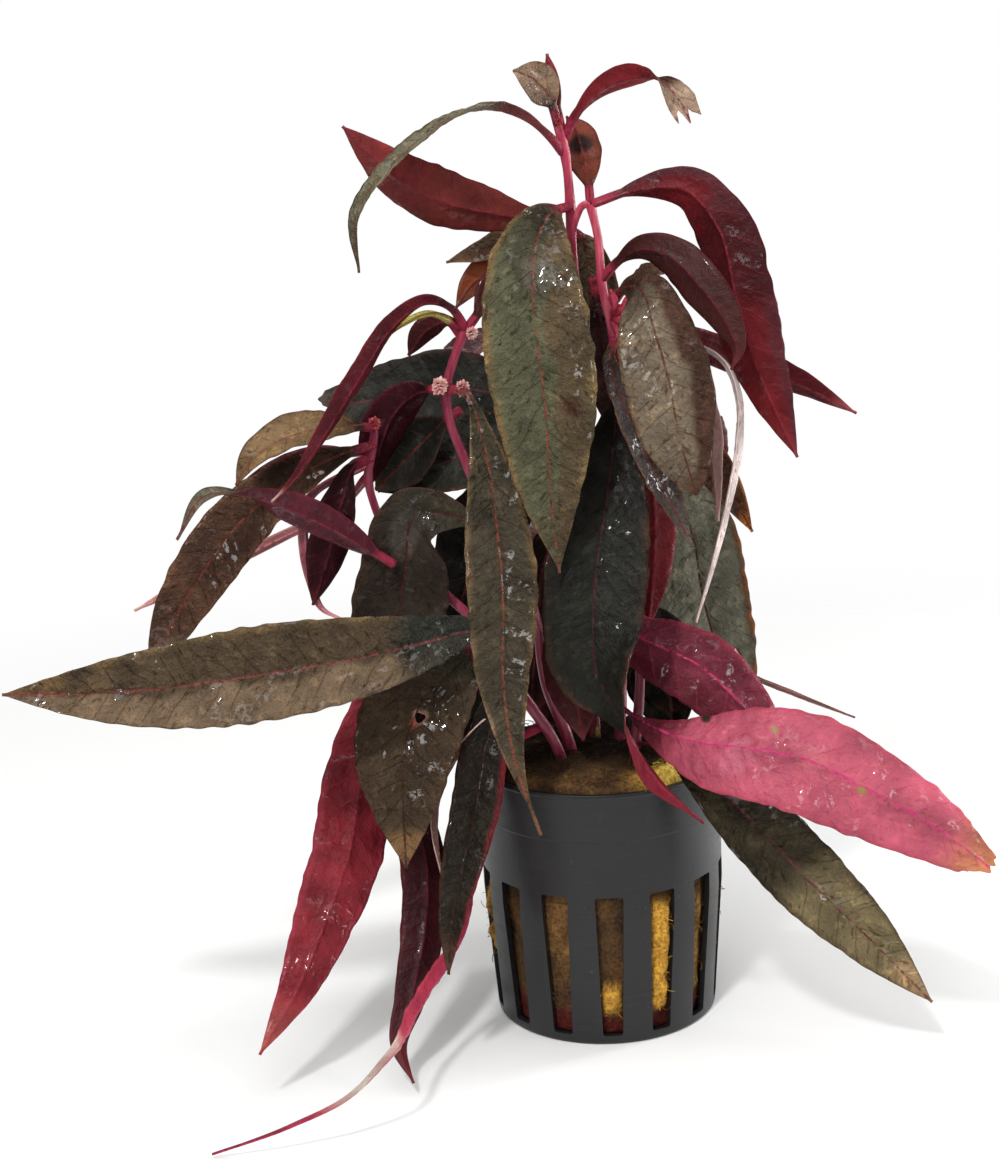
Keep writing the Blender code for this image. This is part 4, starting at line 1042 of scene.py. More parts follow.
def make_blade(name, points, turns, facing, width, fold, look, torn=0.0, hole=None, powers=BLADE_POWERS):
    """Model one leaf."""
    rng = np.random.default_rng(sum(ord(letter) * (place + 3) for place, letter in enumerate(name)))
    reached, spine, tangents, normals, sides = blade_frame(points, turns, facing, width)
    length = reached[-1]
    share = np.clip((reached - PETIOLE_LENGTH) / (length - PETIOLE_LENGTH), 0, 1)[:, None]
    half = half_widths(share * (1 - torn), width, powers)
    half = np.maximum(half * np.interp(share, *zip(*look.get("trim", UNTRIMMED))), TIP_HALF)
    across = columns_across(width)
    down = reached[:, None] + 0 * across
    patches = uneven(rng, down, half * across, 16.0)
    full = np.clip((half - 1.0) / 3.0, 0, 1)
    waver = uneven(rng, down, 9.0 * np.sign(across), 7.0)
    half = half * (1 + MARGIN_WAVER * full * waver * np.abs(across) ** 2)
    aside = half * across
    phase = (down - np.abs(aside) * VEIN_SLANT) / VEIN_SPACING + VEIN_OFFSET * (across > 0)
    phase = phase + VEIN_WANDER * uneven(rng, down, 20.0 * np.sign(across), 18.0)

    height = blade_relief(rng, look, fold, down, across, half, full, phase)
    plane = aside * math.cos(math.radians(fold))
    middle = spine[:, None] + sides[:, None] * plane[..., None] + normals[:, None] * height[..., None]
    middle = middle - tangents[:, None] * torn_back(rng, torn, aside, down, length)[..., None]
    above, below = blade_thickness(reached, share, across, aside, full, phase)
    top = middle + normals[:, None] * above[..., None]
    bottom = middle - normals[:, None] * below[..., None]
    bottom[..., 2] = np.maximum(bottom[..., 2], GROUND_GAP)
    top[..., 2] = np.maximum(top[..., 2], GROUND_GAP + BLADE_HALF)

    colours = blade_colours(look, share + 0 * across, across + 0 * share, patches, on_drawing(middle))
    kept = np.ones((down.shape[0] - 1, down.shape[1] - 1), dtype=bool)
    if hole:
        kept, colours = open_hole(hole, (top, bottom), colours)
    faces, kinds = sheet_faces(kept)
    both = np.concatenate([top.reshape(-1, 3), bottom.reshape(-1, 3)])
    layers = blade_layers(look, down, aside, phase, colours)
    return mesh_from(name, both, faces, kinds, layers, [UPPER_FINISH, UNDER_FINISH])


print("Side veins leave the midrib every", VEIN_SPACING, "mm")

# %% [markdown]
# No two leaves of a living plant are alike. What differs clearly from a leaf's look is given here: a
# band along one side, a zone along the length, a spot somewhere on the drawing, or a trim that makes
# part of the blade narrower or wider. Some bands, zones and spots are painted shade and painted
# highlights, marked where they stand. The broad leaves come first.

# %% Leaves of their own kind: the broad ones
LEFT, RIGHT_SIDE = 1, -1
OWN_LOOKS = {
    "leaf_front_broad": dict(upper=(0.080, 0.080, 0.045), tip=(0.060, 0.045, 0.026), bands=[
        (RIGHT_SIDE, 0.10, (0.080, 0.056, 0.030)), (RIGHT_SIDE, 0.88, (0.15, 0.105, 0.045))],
        # The pale grey spot high on this blade is a painted highlight; the dark brown one is a scar.
        spots=[(-7.6, 125.0, 3.0, (0.050, 0.022, 0.012)), (-13.5, 154.0, 4.5, (0.110, 0.098, 0.070))]),
    # The darker band on its right half is painted shade where that half folds back.
    "leaf_right_broad": dict(upper=(0.160, 0.122, 0.083), tip=(0.060, 0.032, 0.018),
        rib=(0.09, 0.025, 0.020), bands=[(RIGHT_SIDE, 0.30, (0.058, 0.027, 0.017))]),
    "leaf_behind_broad": dict(upper=(0.110, 0.085, 0.050), inner=(0.080, 0.050, 0.035)),
    "leaf_dark_right": dict(upper=(0.225, 0.230, 0.170), gloss=0.2,
        bands=[(RIGHT_SIDE, 0.80, (0.22, 0.085, 0.030))]),
    "leaf_mid_long": dict(upper=(0.050, 0.040, 0.025), bands=[(LEFT, 0.86, (0.18, 0.12, 0.07))]),
    # Its dark zone near the stem is painted shade, and its paler tan lower half is partly its own colour and
    # partly painted sheen.
    "leaf_long_left": dict(upper=(0.068, 0.046, 0.026), lengths=[(0.0, 0.30, (0.020, 0.026, 0.021))],
        rib=(0.20, 0.045, 0.045), margin=(0.15, 0.10, 0.045),
        bands=[(RIGHT_SIDE, 0.04, (0.140, 0.095, 0.058))]),
    "leaf_low_right": dict(lengths=[(0.0, 0.62, (0.014, 0.011, 0.007))], upper=(0.165, 0.130, 0.066),
        rib=(0.13, 0.030, 0.038), tip=(0.30, 0.20, 0.10), gloss=0.9,
        trim=((0, 0.3), (0.32, 1))),
    "leaf_magenta_mid": dict(bands=[(RIGHT_SIDE, 0.30, (0.075, 0.008, 0.014))], under=(0.125, 0.018, 0.032),
        gloss=0.9, quilt=0.26),
    "leaf_magenta_big": dict(
        tip=(0.46, 0.20, 0.06), under=(0.40, 0.078, 0.118), under_rib=(0.50, 0.030, 0.15), gloss=1.0,
        # The dark zone near the stalk is painted shade.
        lengths=[(0.0, 0.30, (0.12, 0.014, 0.022))],
        quilt=0.30, trim=((0, 0.5), (0.34, 1)), spots=[
            (35.5, 56.3, 1.3, (0.22, 0.22, 0.06)), (53.9, 43.6, 1.6, (0.26, 0.20, 0.05)),
            (20.9, 58.8, 1.2, (0.03, 0.02, 0.012)), (27.0, 50.5, 4.5, (0.50, 0.12, 0.18)),
            (44.0, 50.0, 4.0, (0.44, 0.10, 0.13))]),
    "leaf_holed": dict(upper=(0.052, 0.033, 0.019), margin=(0.06, 0.035, 0.02),
        lengths=[(0.84, 1.1, (0.17, 0.090, 0.040))], rib=(0.040, 0.020, 0.012),
        spots=[(-40.9, 57.6, 1.1, (0.36, 0.07, 0.05))]),
    "leaf_mid_left": dict(upper=(0.026, 0.018, 0.013), rib=(0.06, 0.012, 0.012), gloss=0.3,
        margin=(0.045, 0.022, 0.016),
        # The pale grey spot is a painted highlight.
        spots=[(-42.3, 96.5, 5.0, (0.060, 0.050, 0.042))]),
}
print(len(OWN_LOOKS), "leaves so far differ from their look")

# %% [markdown]
# Little light reaches the middle of the plant, so the leaves there are painted nearly black as painted
# shade and hardly gloss. The narrow ones further out turn from crimson to olive or straw, often along one
# blade.

# %% Leaves of their own kind: the dark and the narrow ones
OWN_LOOKS.update({
    "leaf_dark_down": dict(bands=[(RIGHT_SIDE, 0.74, (0.14, 0.012, 0.018))], upper=(0.014, 0.010, 0.006),
        rib=(0.03, 0.012, 0.009)),
    "leaf_dark_behind": dict(upper=(0.010, 0.010, 0.008), margin=(0.02, 0.010, 0.008)),
    "leaf_deep_right": dict(upper=(0.010, 0.009, 0.007), margin=(0.02, 0.008, 0.006), gloss=0.1),
    "leaf_deep_left": dict(upper=(0.014, 0.006, 0.006), inner=(0.010, 0.004, 0.004), gloss=0.1),
    "leaf_mid_dark": dict(upper=(0.012, 0.012, 0.009), lengths=[(0.72, 1.1, (0.15, 0.010, 0.022))],
        gloss=0.12, rib=(0.05, 0.010, 0.012),
        trim=((0, 1), (0.76, 1), (0.88, 1.6), (0.96, 2.2), (1, 1))),
    "leaf_dark_blade": dict(upper=(0.019, 0.019, 0.014), tip=(0.04, 0.04, 0.03), gloss=0.15),
    "leaf_dark_back_left": dict(upper=(0.013, 0.013, 0.010), tip=(0.05, 0.042, 0.034), gloss=0.10),
    "leaf_hang_maroon": dict(under=(0.028, 0.004, 0.007)),
    "leaf_maroon_left": dict(under=(0.034, 0.004, 0.008)),
    "leaf_crimson_down": dict(under=(0.034, 0.006, 0.008), under_rib=(0.09, 0.010, 0.018)),
    "leaf_arch_small": dict(under=(0.045, 0.012, 0.011)),
    "leaf_tip_curl": dict(under=(0.080, 0.013, 0.022), lengths=[(0.62, 1.1, (0.11, 0.105, 0.070))]),
    "leaf_arch_left": dict(lengths=[(0.92, 1.1, (0.50, 0.34, 0.30))], under=(0.068, 0.006, 0.011)),
    "leaf_arch_right": dict(under=(0.115, 0.009, 0.012), lengths=[(0.26, 0.60, (0.045, 0.007, 0.009))],
        bands=[(LEFT, 0.45, (0.070, 0.020, 0.026))]),
    "leaf_upper_left": dict(under=(0.185, 0.026, 0.026), lengths=[(0.0, 0.66, (0.110, 0.018, 0.015))]),
    "leaf_ribbon": dict(lengths=[(0.0, 0.42, (0.15, 0.012, 0.026)), (0.62, 0.84, (0.48, 0.46, 0.38)),
        (0.84, 1.3, (0.10, 0.012, 0.020))],
        under=(0.36, 0.030, 0.062), trim=((0, 1), (0.55, 1), (0.72, 0.55), (1, 0.5))),
    "leaf_red_hang": dict(under=(0.170, 0.015, 0.022), under_rib=(0.26, 0.028, 0.045), gloss=0.8, quilt=0.24),
    "leaf_crown_strip": dict(under=(0.22, 0.030, 0.035), tip=(0.20, 0.06, 0.04)),
    "leaf_crown_right": dict(under=(0.17, 0.014, 0.018), lengths=[(0.62, 1.1, (0.34, 0.24, 0.17))]),
    "leaf_glint_narrow": dict(upper=(0.060, 0.045, 0.040), tip=(0.10, 0.09, 0.075)),
    "leaf_edge_right": dict(upper=(0.60, 0.52, 0.50), under=(0.62, 0.52, 0.50), tip=(0.62, 0.52, 0.50)),
    "leaf_crown_up": dict(upper=(0.26, 0.17, 0.11), tip=(0.30, 0.26, 0.16)),
    "leaf_crown_left": dict(under=(0.150, 0.130, 0.085), upper=(0.14, 0.13, 0.085), tip=(0.055, 0.055, 0.032),
        lengths=[(0.0, 0.30, (0.12, 0.016, 0.024))]),
    "leaf_crown_back": dict(under=(0.13, 0.028, 0.015), spots=[(-5.7, 180.0, 3.0, (0.02, 0.006, 0.004))]),
    "leaf_rust_upper": dict(under=(0.20, 0.05, 0.02)),
    "leaf_point_right": dict(under=(0.08, 0.007, 0.011), tip=(0.45, 0.11, 0.11)),
    "leaf_short_brown": dict(upper=(0.17, 0.105, 0.050), margin=(0.07, 0.03, 0.02), gloss=0.4),
    "leaf_pale_back": dict(under=(0.30, 0.10, 0.10), trim=((0, 1), (0.25, 0.45), (0.75, 0.5), (1, 1))),
    "leaf_droop_brown": dict(upper=(0.070, 0.034, 0.021)),
})
print(len(OWN_LOOKS), "leaves differ from their look")

# %% [markdown]
# Every leaf grows now and takes the place of its plain solid: the drawn ones along their routes, and
# those of the far side from their stems, rising first and then sinking under their own weight.

# %% The leaves
HOLES = {"leaf_holed": (-39.6, 58.9, 1.1)}
BACK_POINTS = 7
BACK_SAG = 0.62
BACK_PULL = 0.18
BACK_FOLD = 12.0


def dress(piece, node):
    """Let a finished leaf stand for its solid."""
    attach(piece, BODY)
    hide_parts(node)


def grow_drawn_leaf(name):
    """Grow a leaf from its drawn route."""
    colour, width, fold, rows = LEAVES[name]
    look = {**LOOKS[colour], **OWN_LOOKS.get(name, {})}
    spine = [from_drawing(across, up, front) for across, up, front, _ in rows]
    piece = make_blade(name.replace("leaf_", "blade_"), spine, [row[3] for row in rows], towards_eye,
                       width, fold, look, TORN_TIPS.get(name, 0.0), HOLES.get(name),
                       BLADE_SHAPES.get(name, BLADE_POWERS))
    dress(piece, name)


def grow_back_leaf(name):
    """Grow a leaf of the far side: it leaves its stem and arches over."""
    colour, width, length, stem, height, heading, climb_rate, droop = BACK_LEAVES[name]
    samples, _, _ = smooth_curve([from_drawing(*point) for point in STEMS[stem][1]])
    foot = samples[np.abs(samples[:, 2] - height).argmin()]
    outward = np.array([math.cos(math.radians(heading)), math.sin(math.radians(heading)), 0])
    spine = []
    for share in np.linspace(0, 1, BACK_POINTS):
        reach = length * (share - BACK_PULL * droop * share**2)
        climb = length * (climb_rate * share - BACK_SAG * droop * share**2)
        spine.append(foot + outward * reach + np.array([0, 0, climb]))
    look = {**LOOKS[colour], **OWN_LOOKS.get(name, {})}
    piece = make_blade(name.replace("leaf_", "blade_"), spine, [0] * BACK_POINTS, upwards,
                       width, BACK_FOLD, look)
    dress(piece, name)


for leaf_name in LEAVES:
    grow_drawn_leaf(leaf_name)
for leaf_name in BACK_LEAVES:
    grow_back_leaf(leaf_name)
blades = [piece for piece in bpy.data.objects if piece.name.startswith("blade_")]
print(len(blades), "leaves with", sum(len(blade.data.polygons) for blade in blades), "faces")

# %% [markdown]
# What repeats or follows a path is grown by Geometry Nodes. A third bench opens such a tree with named
# inputs, gives what it makes its material and turns the result into a plain mesh.


# %% A bench for shapes
class Recipe(Bench):
    """A Geometry Nodes tree with named inputs."""

    KINDS = {float: "NodeSocketFloat", int: "NodeSocketInt"}

    def __init__(self, name, **defaults):
        tree = bpy.data.node_groups.new(name, "GeometryNodeTree")
        tree.interface.new_socket("Geometry", in_out="INPUT", socket_type="NodeSocketGeometry")
        tree.interface.new_socket("Geometry", in_out="OUTPUT", socket_type="NodeSocketGeometry")
        for key, value in defaults.items():
            socket = tree.interface.new_socket(key, in_out="INPUT", socket_type=self.KINDS[type(value)])
            socket.default_value = value
        tree.interface.new_socket("Material", in_out="INPUT", socket_type="NodeSocketMaterial")
        super().__init__(tree)
        self.source = tree.nodes.new("NodeGroupInput")

    def given(self, name):
        """Read one of the tree's inputs."""
        return Wire(self, self.source.outputs[name])

    def join(self, first, second):
        """Join two geometries."""
        joined = self.tree.nodes.new("GeometryNodeJoinGeometry")
        for part in (first, second):
            self.tree.links.new(part.socket, joined.inputs[0])
        return Wire(self, joined.outputs[0])

    def close(self, geometry):
        """End the tree."""
        realized = self.add("GeometryNodeRealizeInstances", None, {"Geometry": geometry})
        painted = self.add("GeometryNodeSetMaterial", None,
                           {"Geometry": realized, "Material": self.given("Material")})
        end = self.tree.nodes.new("NodeGroupOutput")
        self.tree.links.new(painted.socket, end.inputs[0])

    def grow(self, name, data, material, **values):
        """Run the tree on a mesh or a curve and keep the result as a plain mesh."""
        guide = bpy.data.objects.new(name + "_guide", data)
        bpy.context.scene.collection.objects.link(guide)
        modifier = guide.modifiers.new(self.tree.name, "NODES")
        modifier.node_group = self.tree
        inputs = [item for item in self.tree.interface.items_tree if item.in_out == "INPUT"]
        names = {item.name: item.identifier for item in inputs}
        modifier[names["Material"]] = material
        for key, value in values.items():
            modifier[names[key]] = value
        ready = guide.evaluated_get(bpy.context.evaluated_depsgraph_get())
        mesh = bpy.data.meshes.new_from_object(ready)
        guide.modifiers.remove(modifier)
        bpy.data.objects.remove(guide)
        mesh.name = name
        if not mesh.materials:
            mesh.materials.append(material)
        mesh.shade_smooth()
        piece = bpy.data.objects.new(name, mesh)
        bpy.context.scene.collection.objects.link(piece)
        return piece


print("The shape bench is ready")

# %% [markdown]
# The stems are smooth, juicy and glossy, pink higher up and darker lower down: the crimson of their
# older part, together with painted shade deep in the plant. Fine streaks run along them, so the noise
# is squeezed across the stem and drawn out upwards before it is read.

# %% Finish of the stems
STREAK_SCALE = (900.0, 900.0, 90.0)
STEM_COLOURS = ((0.25, (0.15, 0.008, 0.022)), (0.5, (0.43, 0.042, 0.085)), (0.8, (0.68, 0.20, 0.22)))
STEM_BRIGHTENS = (0.130, 0.158)
LOW_STEM_SHADE = (0.50, 0.45, 0.55)


def stem_finish():
    """Pink, glossy skin with fine streaks along the stem, darker on the older lower part, with painted shade
    there.
    """
    finish = Finish("stem_skin", Coat_Roughness=0.15, Specular_IOR_Level=0.35)
    stretched = finish.add("ShaderNodeMapping", None, {"Vector": finish.place, "Scale": STREAK_SCALE})
    streaks = finish.grain(stretched, 1.0, 4.0, 0.6)
    patches = finish.grain(finish.place, 60.0, 3.0)
    stops = [(share, rgba(colour)) for share, colour in STEM_COLOURS]
    colour = finish.add("ShaderNodeValToRGB", {"stops": stops}, {"Fac": streaks * 0.55 + patches * 0.45})
    height = finish.parts_of(finish.place)[2]
    shaded = finish.blend(1.0, colour, rgba(LOW_STEM_SHADE), "MULTIPLY")
    # Lower down the stems are darkened: the older crimson part with painted shade.
    finish.feed("Base Color", finish.blend(finish.step(height, *STEM_BRIGHTENS), shaded, colour))
    finish.feed("Roughness", streaks * 0.25 + 0.26)
    finish.feed("Coat Weight", patches * 0.4)
    finish.bump(streaks, 0.12, 0.6)
    return finish.material


STEM_SKIN = stem_finish()
print("Stem finish:", STEM_SKIN.name)

# %% [markdown]
# A stem is a tube that follows its route. A curve's own bevel would do, but a tree that sweeps a ring
# along it can also push the skin in and out a little, so that it doesn't look turned on a lathe.

# %% A tube along a curve
TUBE_SIDES = 18


def curve_along(name, strands):
    """Make curve data from strands of points in mm, each with a radius for every point."""
    curve = bpy.data.curves.new(name, "CURVE")
    curve.dimensions = "3D"
    for points, radii in strands:
        spline = curve.splines.new("POLY")
        spline.points.add(len(points) - 1)
        for target, point, radius in zip(spline.points, points, radii):
            target.co = (*(np.asarray(point) * MM), 1.0)
            target.radius = radius * MM
    return curve


def tube_recipe():
    """A tube along a curve, with gentle unevenness."""
    recipe = Recipe("tube", Step=0.0006, Unevenness=0.0002, Grain=180.0)
    path = recipe.add("GeometryNodeResampleCurve", {"mode": "LENGTH"},
                      {"Curve": recipe.given("Geometry"), "Length": recipe.given("Step")})
    ring = recipe.add("GeometryNodeCurvePrimitiveCircle", {"mode": "RADIUS"},
                      {"Resolution": TUBE_SIDES, "Radius": 1.0})
    radius = recipe.add("GeometryNodeInputRadius")
    tube = recipe.add("GeometryNodeCurveToMesh", None,
                      {"Curve": path, "Profile Curve": ring, "Scale": radius, "Fill Caps": True})
    rough = recipe.add("ShaderNodeTexNoise", None, {"Scale": recipe.given("Grain")}) - 0.5
    normal = recipe.add("GeometryNodeInputNormal")
    push = recipe.add("ShaderNodeVectorMath", {"operation": "SCALE"},
                      {0: normal, "Scale": rough * recipe.given("Unevenness")})
    recipe.close(recipe.add("GeometryNodeSetPosition", None, {"Geometry": tube, "Offset": push}))
    return recipe


TUBE = tube_recipe()
print("A tube has", TUBE_SIDES, "sides")

# %% [markdown]
# Each cutting tapers towards its tip and swells a little at its nodes. Those are where the drawn
# leaves start, so nothing is placed twice.

# %% The stems
NODE_SWELLING = 0.15
NODE_REACH = 2.0
STEM_STEP = 1.0
TAPER = {"stem_main": 0.32, "stem_right": 0.34, "stem_left": 0.36, "stem_far_left": 0.36}
SHORT_STEM_TAPER = 0.12


def leaf_bases():
    """Collect the points at which the drawn leaves leave their stems."""
    return np.array([from_drawing(*rows[0][:3]) for _, _, _, rows in LEAVES.values()])


def grow_stem(name):
    """Grow one stem, swollen at its leaf nodes."""
    radius, route = STEMS[name]
    samples, distances, _ = smooth_curve([from_drawing(*point) for point in route])
    wanted = np.linspace(0, distances[-1], int(distances[-1] / STEM_STEP))
    points = along(distances, samples, wanted)
    gaps = np.linalg.norm(points[:, None] - leaf_bases()[None], axis=2).min(axis=1)
    slim = 1 - TAPER.get(name, SHORT_STEM_TAPER) * wanted / distances[-1]
    radii = radius * slim + NODE_SWELLING * np.exp(-(gaps / NODE_REACH) ** 2)
    piece = TUBE.grow(name.replace("stem_", "cutting_"), curve_along(name, [(points, radii)]), STEM_SKIN)
    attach(piece, BODY)
    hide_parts(name)
    return piece


for stem_name in STEMS:
    stem_piece = grow_stem(stem_name)
    print(stem_piece.name, len(stem_piece.data.polygons), "faces")

# %% [markdown]
# Near the top the right-hand cutting bends over to the main one, and a short pink link closes the
# loop between them. It is one more tube through the same recipe.

# %% The link between two stems
LINK = [(-7.4, 161.5, 0.3), (-6.4, 165.0, 1.4), (-4.9, 167.4, 2.5), (-3.4, 167.6, 3.0)]
LINK_RADIUS = 0.72

link_points, link_distances, _ = smooth_curve([from_drawing(*point) for point in LINK])
link_route = [(link_points[::4], [LINK_RADIUS] * len(link_points[::4]))]
link = TUBE.grow("link", curve_along("link", link_route), STEM_SKIN)
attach(link, BODY)
print("The link is", round(link_distances[-1], 1), "mm long")

# %% [markdown]
# The net pot is moulded from charcoal plastic with a soft sheen and a few pale specks of dust. Noise
# drawn out round the pot gives it the fine scuffs of handling.

# %% Finish of the pot
SCUFF_SCALE = (160.0, 160.0, 1600.0)
DARK_CHARCOAL = (0.005, 0.005, 0.006)
CHARCOAL = (0.013, 0.013, 0.014)
SCUFFED = (0.030, 0.030, 0.032)
DUST = (0.14, 0.12, 0.10)


def plastic_finish():
    """Charcoal plastic: a soft sheen, fine scuffs round the side and pale specks of dust."""
    finish = Finish("charcoal_plastic", Specular_IOR_Level=0.38)
    brushed = finish.add("ShaderNodeMapping", None, {"Vector": finish.place, "Scale": SCUFF_SCALE})
    scuffs = finish.step(finish.grain(brushed, 1.0, 3.0, 0.65), 0.52, 0.72)
    cloud = finish.grain(finish.place, 70.0, 4.0, 0.6)
    dust = finish.step(finish.grain(finish.place, 1500.0, 2.0, 0.5), 0.70, 0.78)
    colour = finish.blend(cloud, rgba(DARK_CHARCOAL), rgba(CHARCOAL))
    colour = finish.blend(scuffs * 0.3, colour, rgba(SCUFFED))
    colour = finish.blend(dust * 0.3, colour, rgba(DUST))
    finish.feed("Base Color", colour)
    finish.feed("Roughness", cloud * 0.18 + scuffs * 0.12 + 0.30)
    finish.bump(scuffs * -0.3 + finish.grain(finish.place, 700.0, 2.0) * 0.4, 0.05, 0.7)
    return finish.material


PLASTIC = plastic_finish()
print("Pot finish:", PLASTIC.name)

# %% [markdown]
# The pot is a cup with a rounded foot, a shallow ledge and a thin lip. It is round, so one profile
# with softened corners is spun about the axis, as its mould was turned.

# %% The cup
POT_DIAMETER = 50.0
POT_FOOT_DIAMETER = 45.6
POT_HEIGHT = 54.0
POT_WALL = 1.2
POT_STRAIGHT_FROM = 27.5
POT_LEDGE_HEIGHT = 44.0
POT_LEDGE_STEP = 0.25
POT_LIP_HEIGHT = 1.0
POT_SIDES = 168
POT_ROUNDING = 0.8


def pot_radius(height):
    """Outer radius of the pot's side."""
    foot = POT_FOOT_DIAMETER / 2
    straight = POT_DIAMETER / 2 - POT_LEDGE_STEP
    return foot + (straight - foot) * np.minimum(1.0, height / POT_STRAIGHT_FROM)


def rounded(outline, radius, steps=4):
    """Round the inner corners of an open outline."""
    outline = np.array(outline, dtype=float)
    kept = [outline[0]]
    for before, corner, after in zip(outline, outline[1:], outline[2:]):
        reach = min(radius, np.linalg.norm(before - corner) / 2.2, np.linalg.norm(after - corner) / 2.2)
        start, end = corner + reach * unit(before - corner), corner + reach * unit(after - corner)
        for share in np.linspace(0, 1, steps):
            kept.append((1 - share) ** 2 * start + 2 * share * (1 - share) * corner + share**2 * end)
    return np.array(kept + [outline[-1]])


def spun(name, outline, sides):
    """Spin an outline of (radius, height) in mm, whose ends lie on the axis, into a closed mesh."""
    turns = np.arange(sides) * math.tau / sides
    circle = np.stack([np.cos(turns), np.sin(turns)], axis=1)
    rings = [np.column_stack([circle * radius, np.full(sides, height)]) for radius, height in outline[1:-1]]
    places = np.concatenate([*rings, [[0, 0, outline[0][1]], [0, 0, outline[-1][1]]]])
    here = np.arange(sides)
    beside = (here + 1) % sides
    top = (len(rings) - 1) * sides
    foot_middle, top_middle = np.full(sides, len(places) - 2), np.full(sides, len(places) - 1)
    faces = [*zip(foot_middle, beside, here), *zip(top + here, top + beside, top_middle)]
    for row in range(0, top, sides):
        faces.extend(zip(row + here, row + beside, row + sides + beside, row + sides + here))
    mesh = bpy.data.meshes.new(name)
    mesh.from_pydata((places * MM).tolist(), [], [[int(corner) for corner in face] for face in faces])
    return mesh


def pot_outline():
    """The pot's profile, from the middle of its foot outside to the middle of its floor inside."""
    top = POT_DIAMETER / 2
    rim = POT_HEIGHT - POT_LIP_HEIGHT
    inside = pot_radius(POT_STRAIGHT_FROM) - POT_WALL
    return rounded([
        (0, 0), (pot_radius(0), 0), (pot_radius(POT_STRAIGHT_FROM), POT_STRAIGHT_FROM),
        (pot_radius(POT_LEDGE_HEIGHT), POT_LEDGE_HEIGHT), (top, POT_LEDGE_HEIGHT + POT_LEDGE_STEP),
        (top, rim), (top + POT_LEDGE_STEP, rim + POT_LEDGE_STEP), (top + POT_LEDGE_STEP, POT_HEIGHT),
        (top - POT_WALL, POT_HEIGHT), (inside, POT_LEDGE_HEIGHT), (inside, POT_STRAIGHT_FROM),
        (pot_radius(POT_WALL) - POT_WALL, POT_WALL), (0, POT_WALL)], POT_ROUNDING)


cup = spun("net_pot", pot_outline(), POT_SIDES)
print("The uncut cup has", len(cup.polygons), "faces")

# %% [markdown]
# Fourteen tapered slots let the roots out. Since they repeat, a tree makes one block, sets copies of
# it round the side and cuts them all out in a single step.

# %% The slots
SLOT_COUNT = 14
SLOT_BOTTOM = 2.0
SLOT_TOP = 32.4
SLOT_WIDTH_LOW = 4.0
SLOT_WIDTH_HIGH = 5.7
SLOT_CORNER = 0.5
CUTTER_INNER = 17.0
CUTTER_REACH = 12.0
SHARP_ANGLE = 32


def slot_recipe():
    """Cut tapered slots with rounded corners out of a cup, the first of them at the front."""
    recipe = Recipe("slots", Count=SLOT_COUNT, Bottom=SLOT_BOTTOM * MM, Top=SLOT_TOP * MM,
                    Low_Width=SLOT_WIDTH_LOW * MM, High_Width=SLOT_WIDTH_HIGH * MM,
                    Corner=SLOT_CORNER * MM, Inner=CUTTER_INNER * MM, Reach=CUTTER_REACH * MM)
    height = recipe.given("Top") - recipe.given("Bottom")
    slot = recipe.add("GeometryNodeCurvePrimitiveQuadrilateral", {"mode": "TRAPEZOID"}, {
        "Height": height, "Bottom Width": recipe.given("Low_Width"), "Top Width": recipe.given("High_Width"),
        "Offset": 0.0})
    slot = recipe.add("GeometryNodeFilletCurve", {"mode": "POLY"},
                      {"Curve": slot, "Radius": recipe.given("Corner"), "Count": 4})
    face = recipe.add("GeometryNodeFillCurve", {"mode": "NGONS"}, {"Curve": slot})
    far = recipe.add("GeometryNodeExtrudeMesh", {"mode": "FACES"},
                     {"Mesh": face, "Offset Scale": recipe.given("Reach"), "Individual": False})
    near = recipe.add("GeometryNodeFlipFaces", None, {"Mesh": face})
    block = recipe.add("GeometryNodeMergeByDistance", None,
                       {"Geometry": recipe.join(far, near), "Distance": 1e-6})
    middle = (recipe.given("Top") + recipe.given("Bottom")) * 0.5
    shift = recipe.add("ShaderNodeCombineXYZ", None, {"Y": middle, "Z": recipe.given("Inner")})
    block = recipe.add("GeometryNodeTransform", None, {"Geometry": block, "Translation": shift})
    points = recipe.add("GeometryNodePoints", None, {"Count": recipe.given("Count")})
    turn = recipe.add("GeometryNodeInputIndex") * math.tau / recipe.given("Count")
    turn = recipe.add("ShaderNodeCombineXYZ", None, {"X": math.pi / 2, "Z": turn})
    blocks = recipe.add("GeometryNodeInstanceOnPoints", None,
                        {"Points": points, "Instance": block, "Rotation": turn})
    blocks = recipe.add("GeometryNodeRealizeInstances", None, {"Geometry": blocks})
    recipe.close(recipe.add("GeometryNodeMeshBoolean", {"operation": "DIFFERENCE", "solver": "EXACT"},
                            {0: recipe.given("Geometry"), 1: blocks}))
    return recipe


pot = slot_recipe().grow("net_pot", cup, PLASTIC)
pot.data.set_sharp_from_angle(angle=math.radians(SHARP_ANGLE))
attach(pot, BODY)
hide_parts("pot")
print("The pot has", len(pot.data.polygons), "faces")

# %% [markdown]
# Growing wool is a felt of fine mineral fibres. It fills the pot and rises in a low dome. Its body is
# spun like the cup, with its rows close together, because every point is moved afterwards.

# %% Outline of the wool
WOOL_CROWN = 57.5
WOOL_SHOULDER = 55.2
WOOL_SIDES = 150
WOOL_GAP = 0.3
WOOL_STEP = 0.85


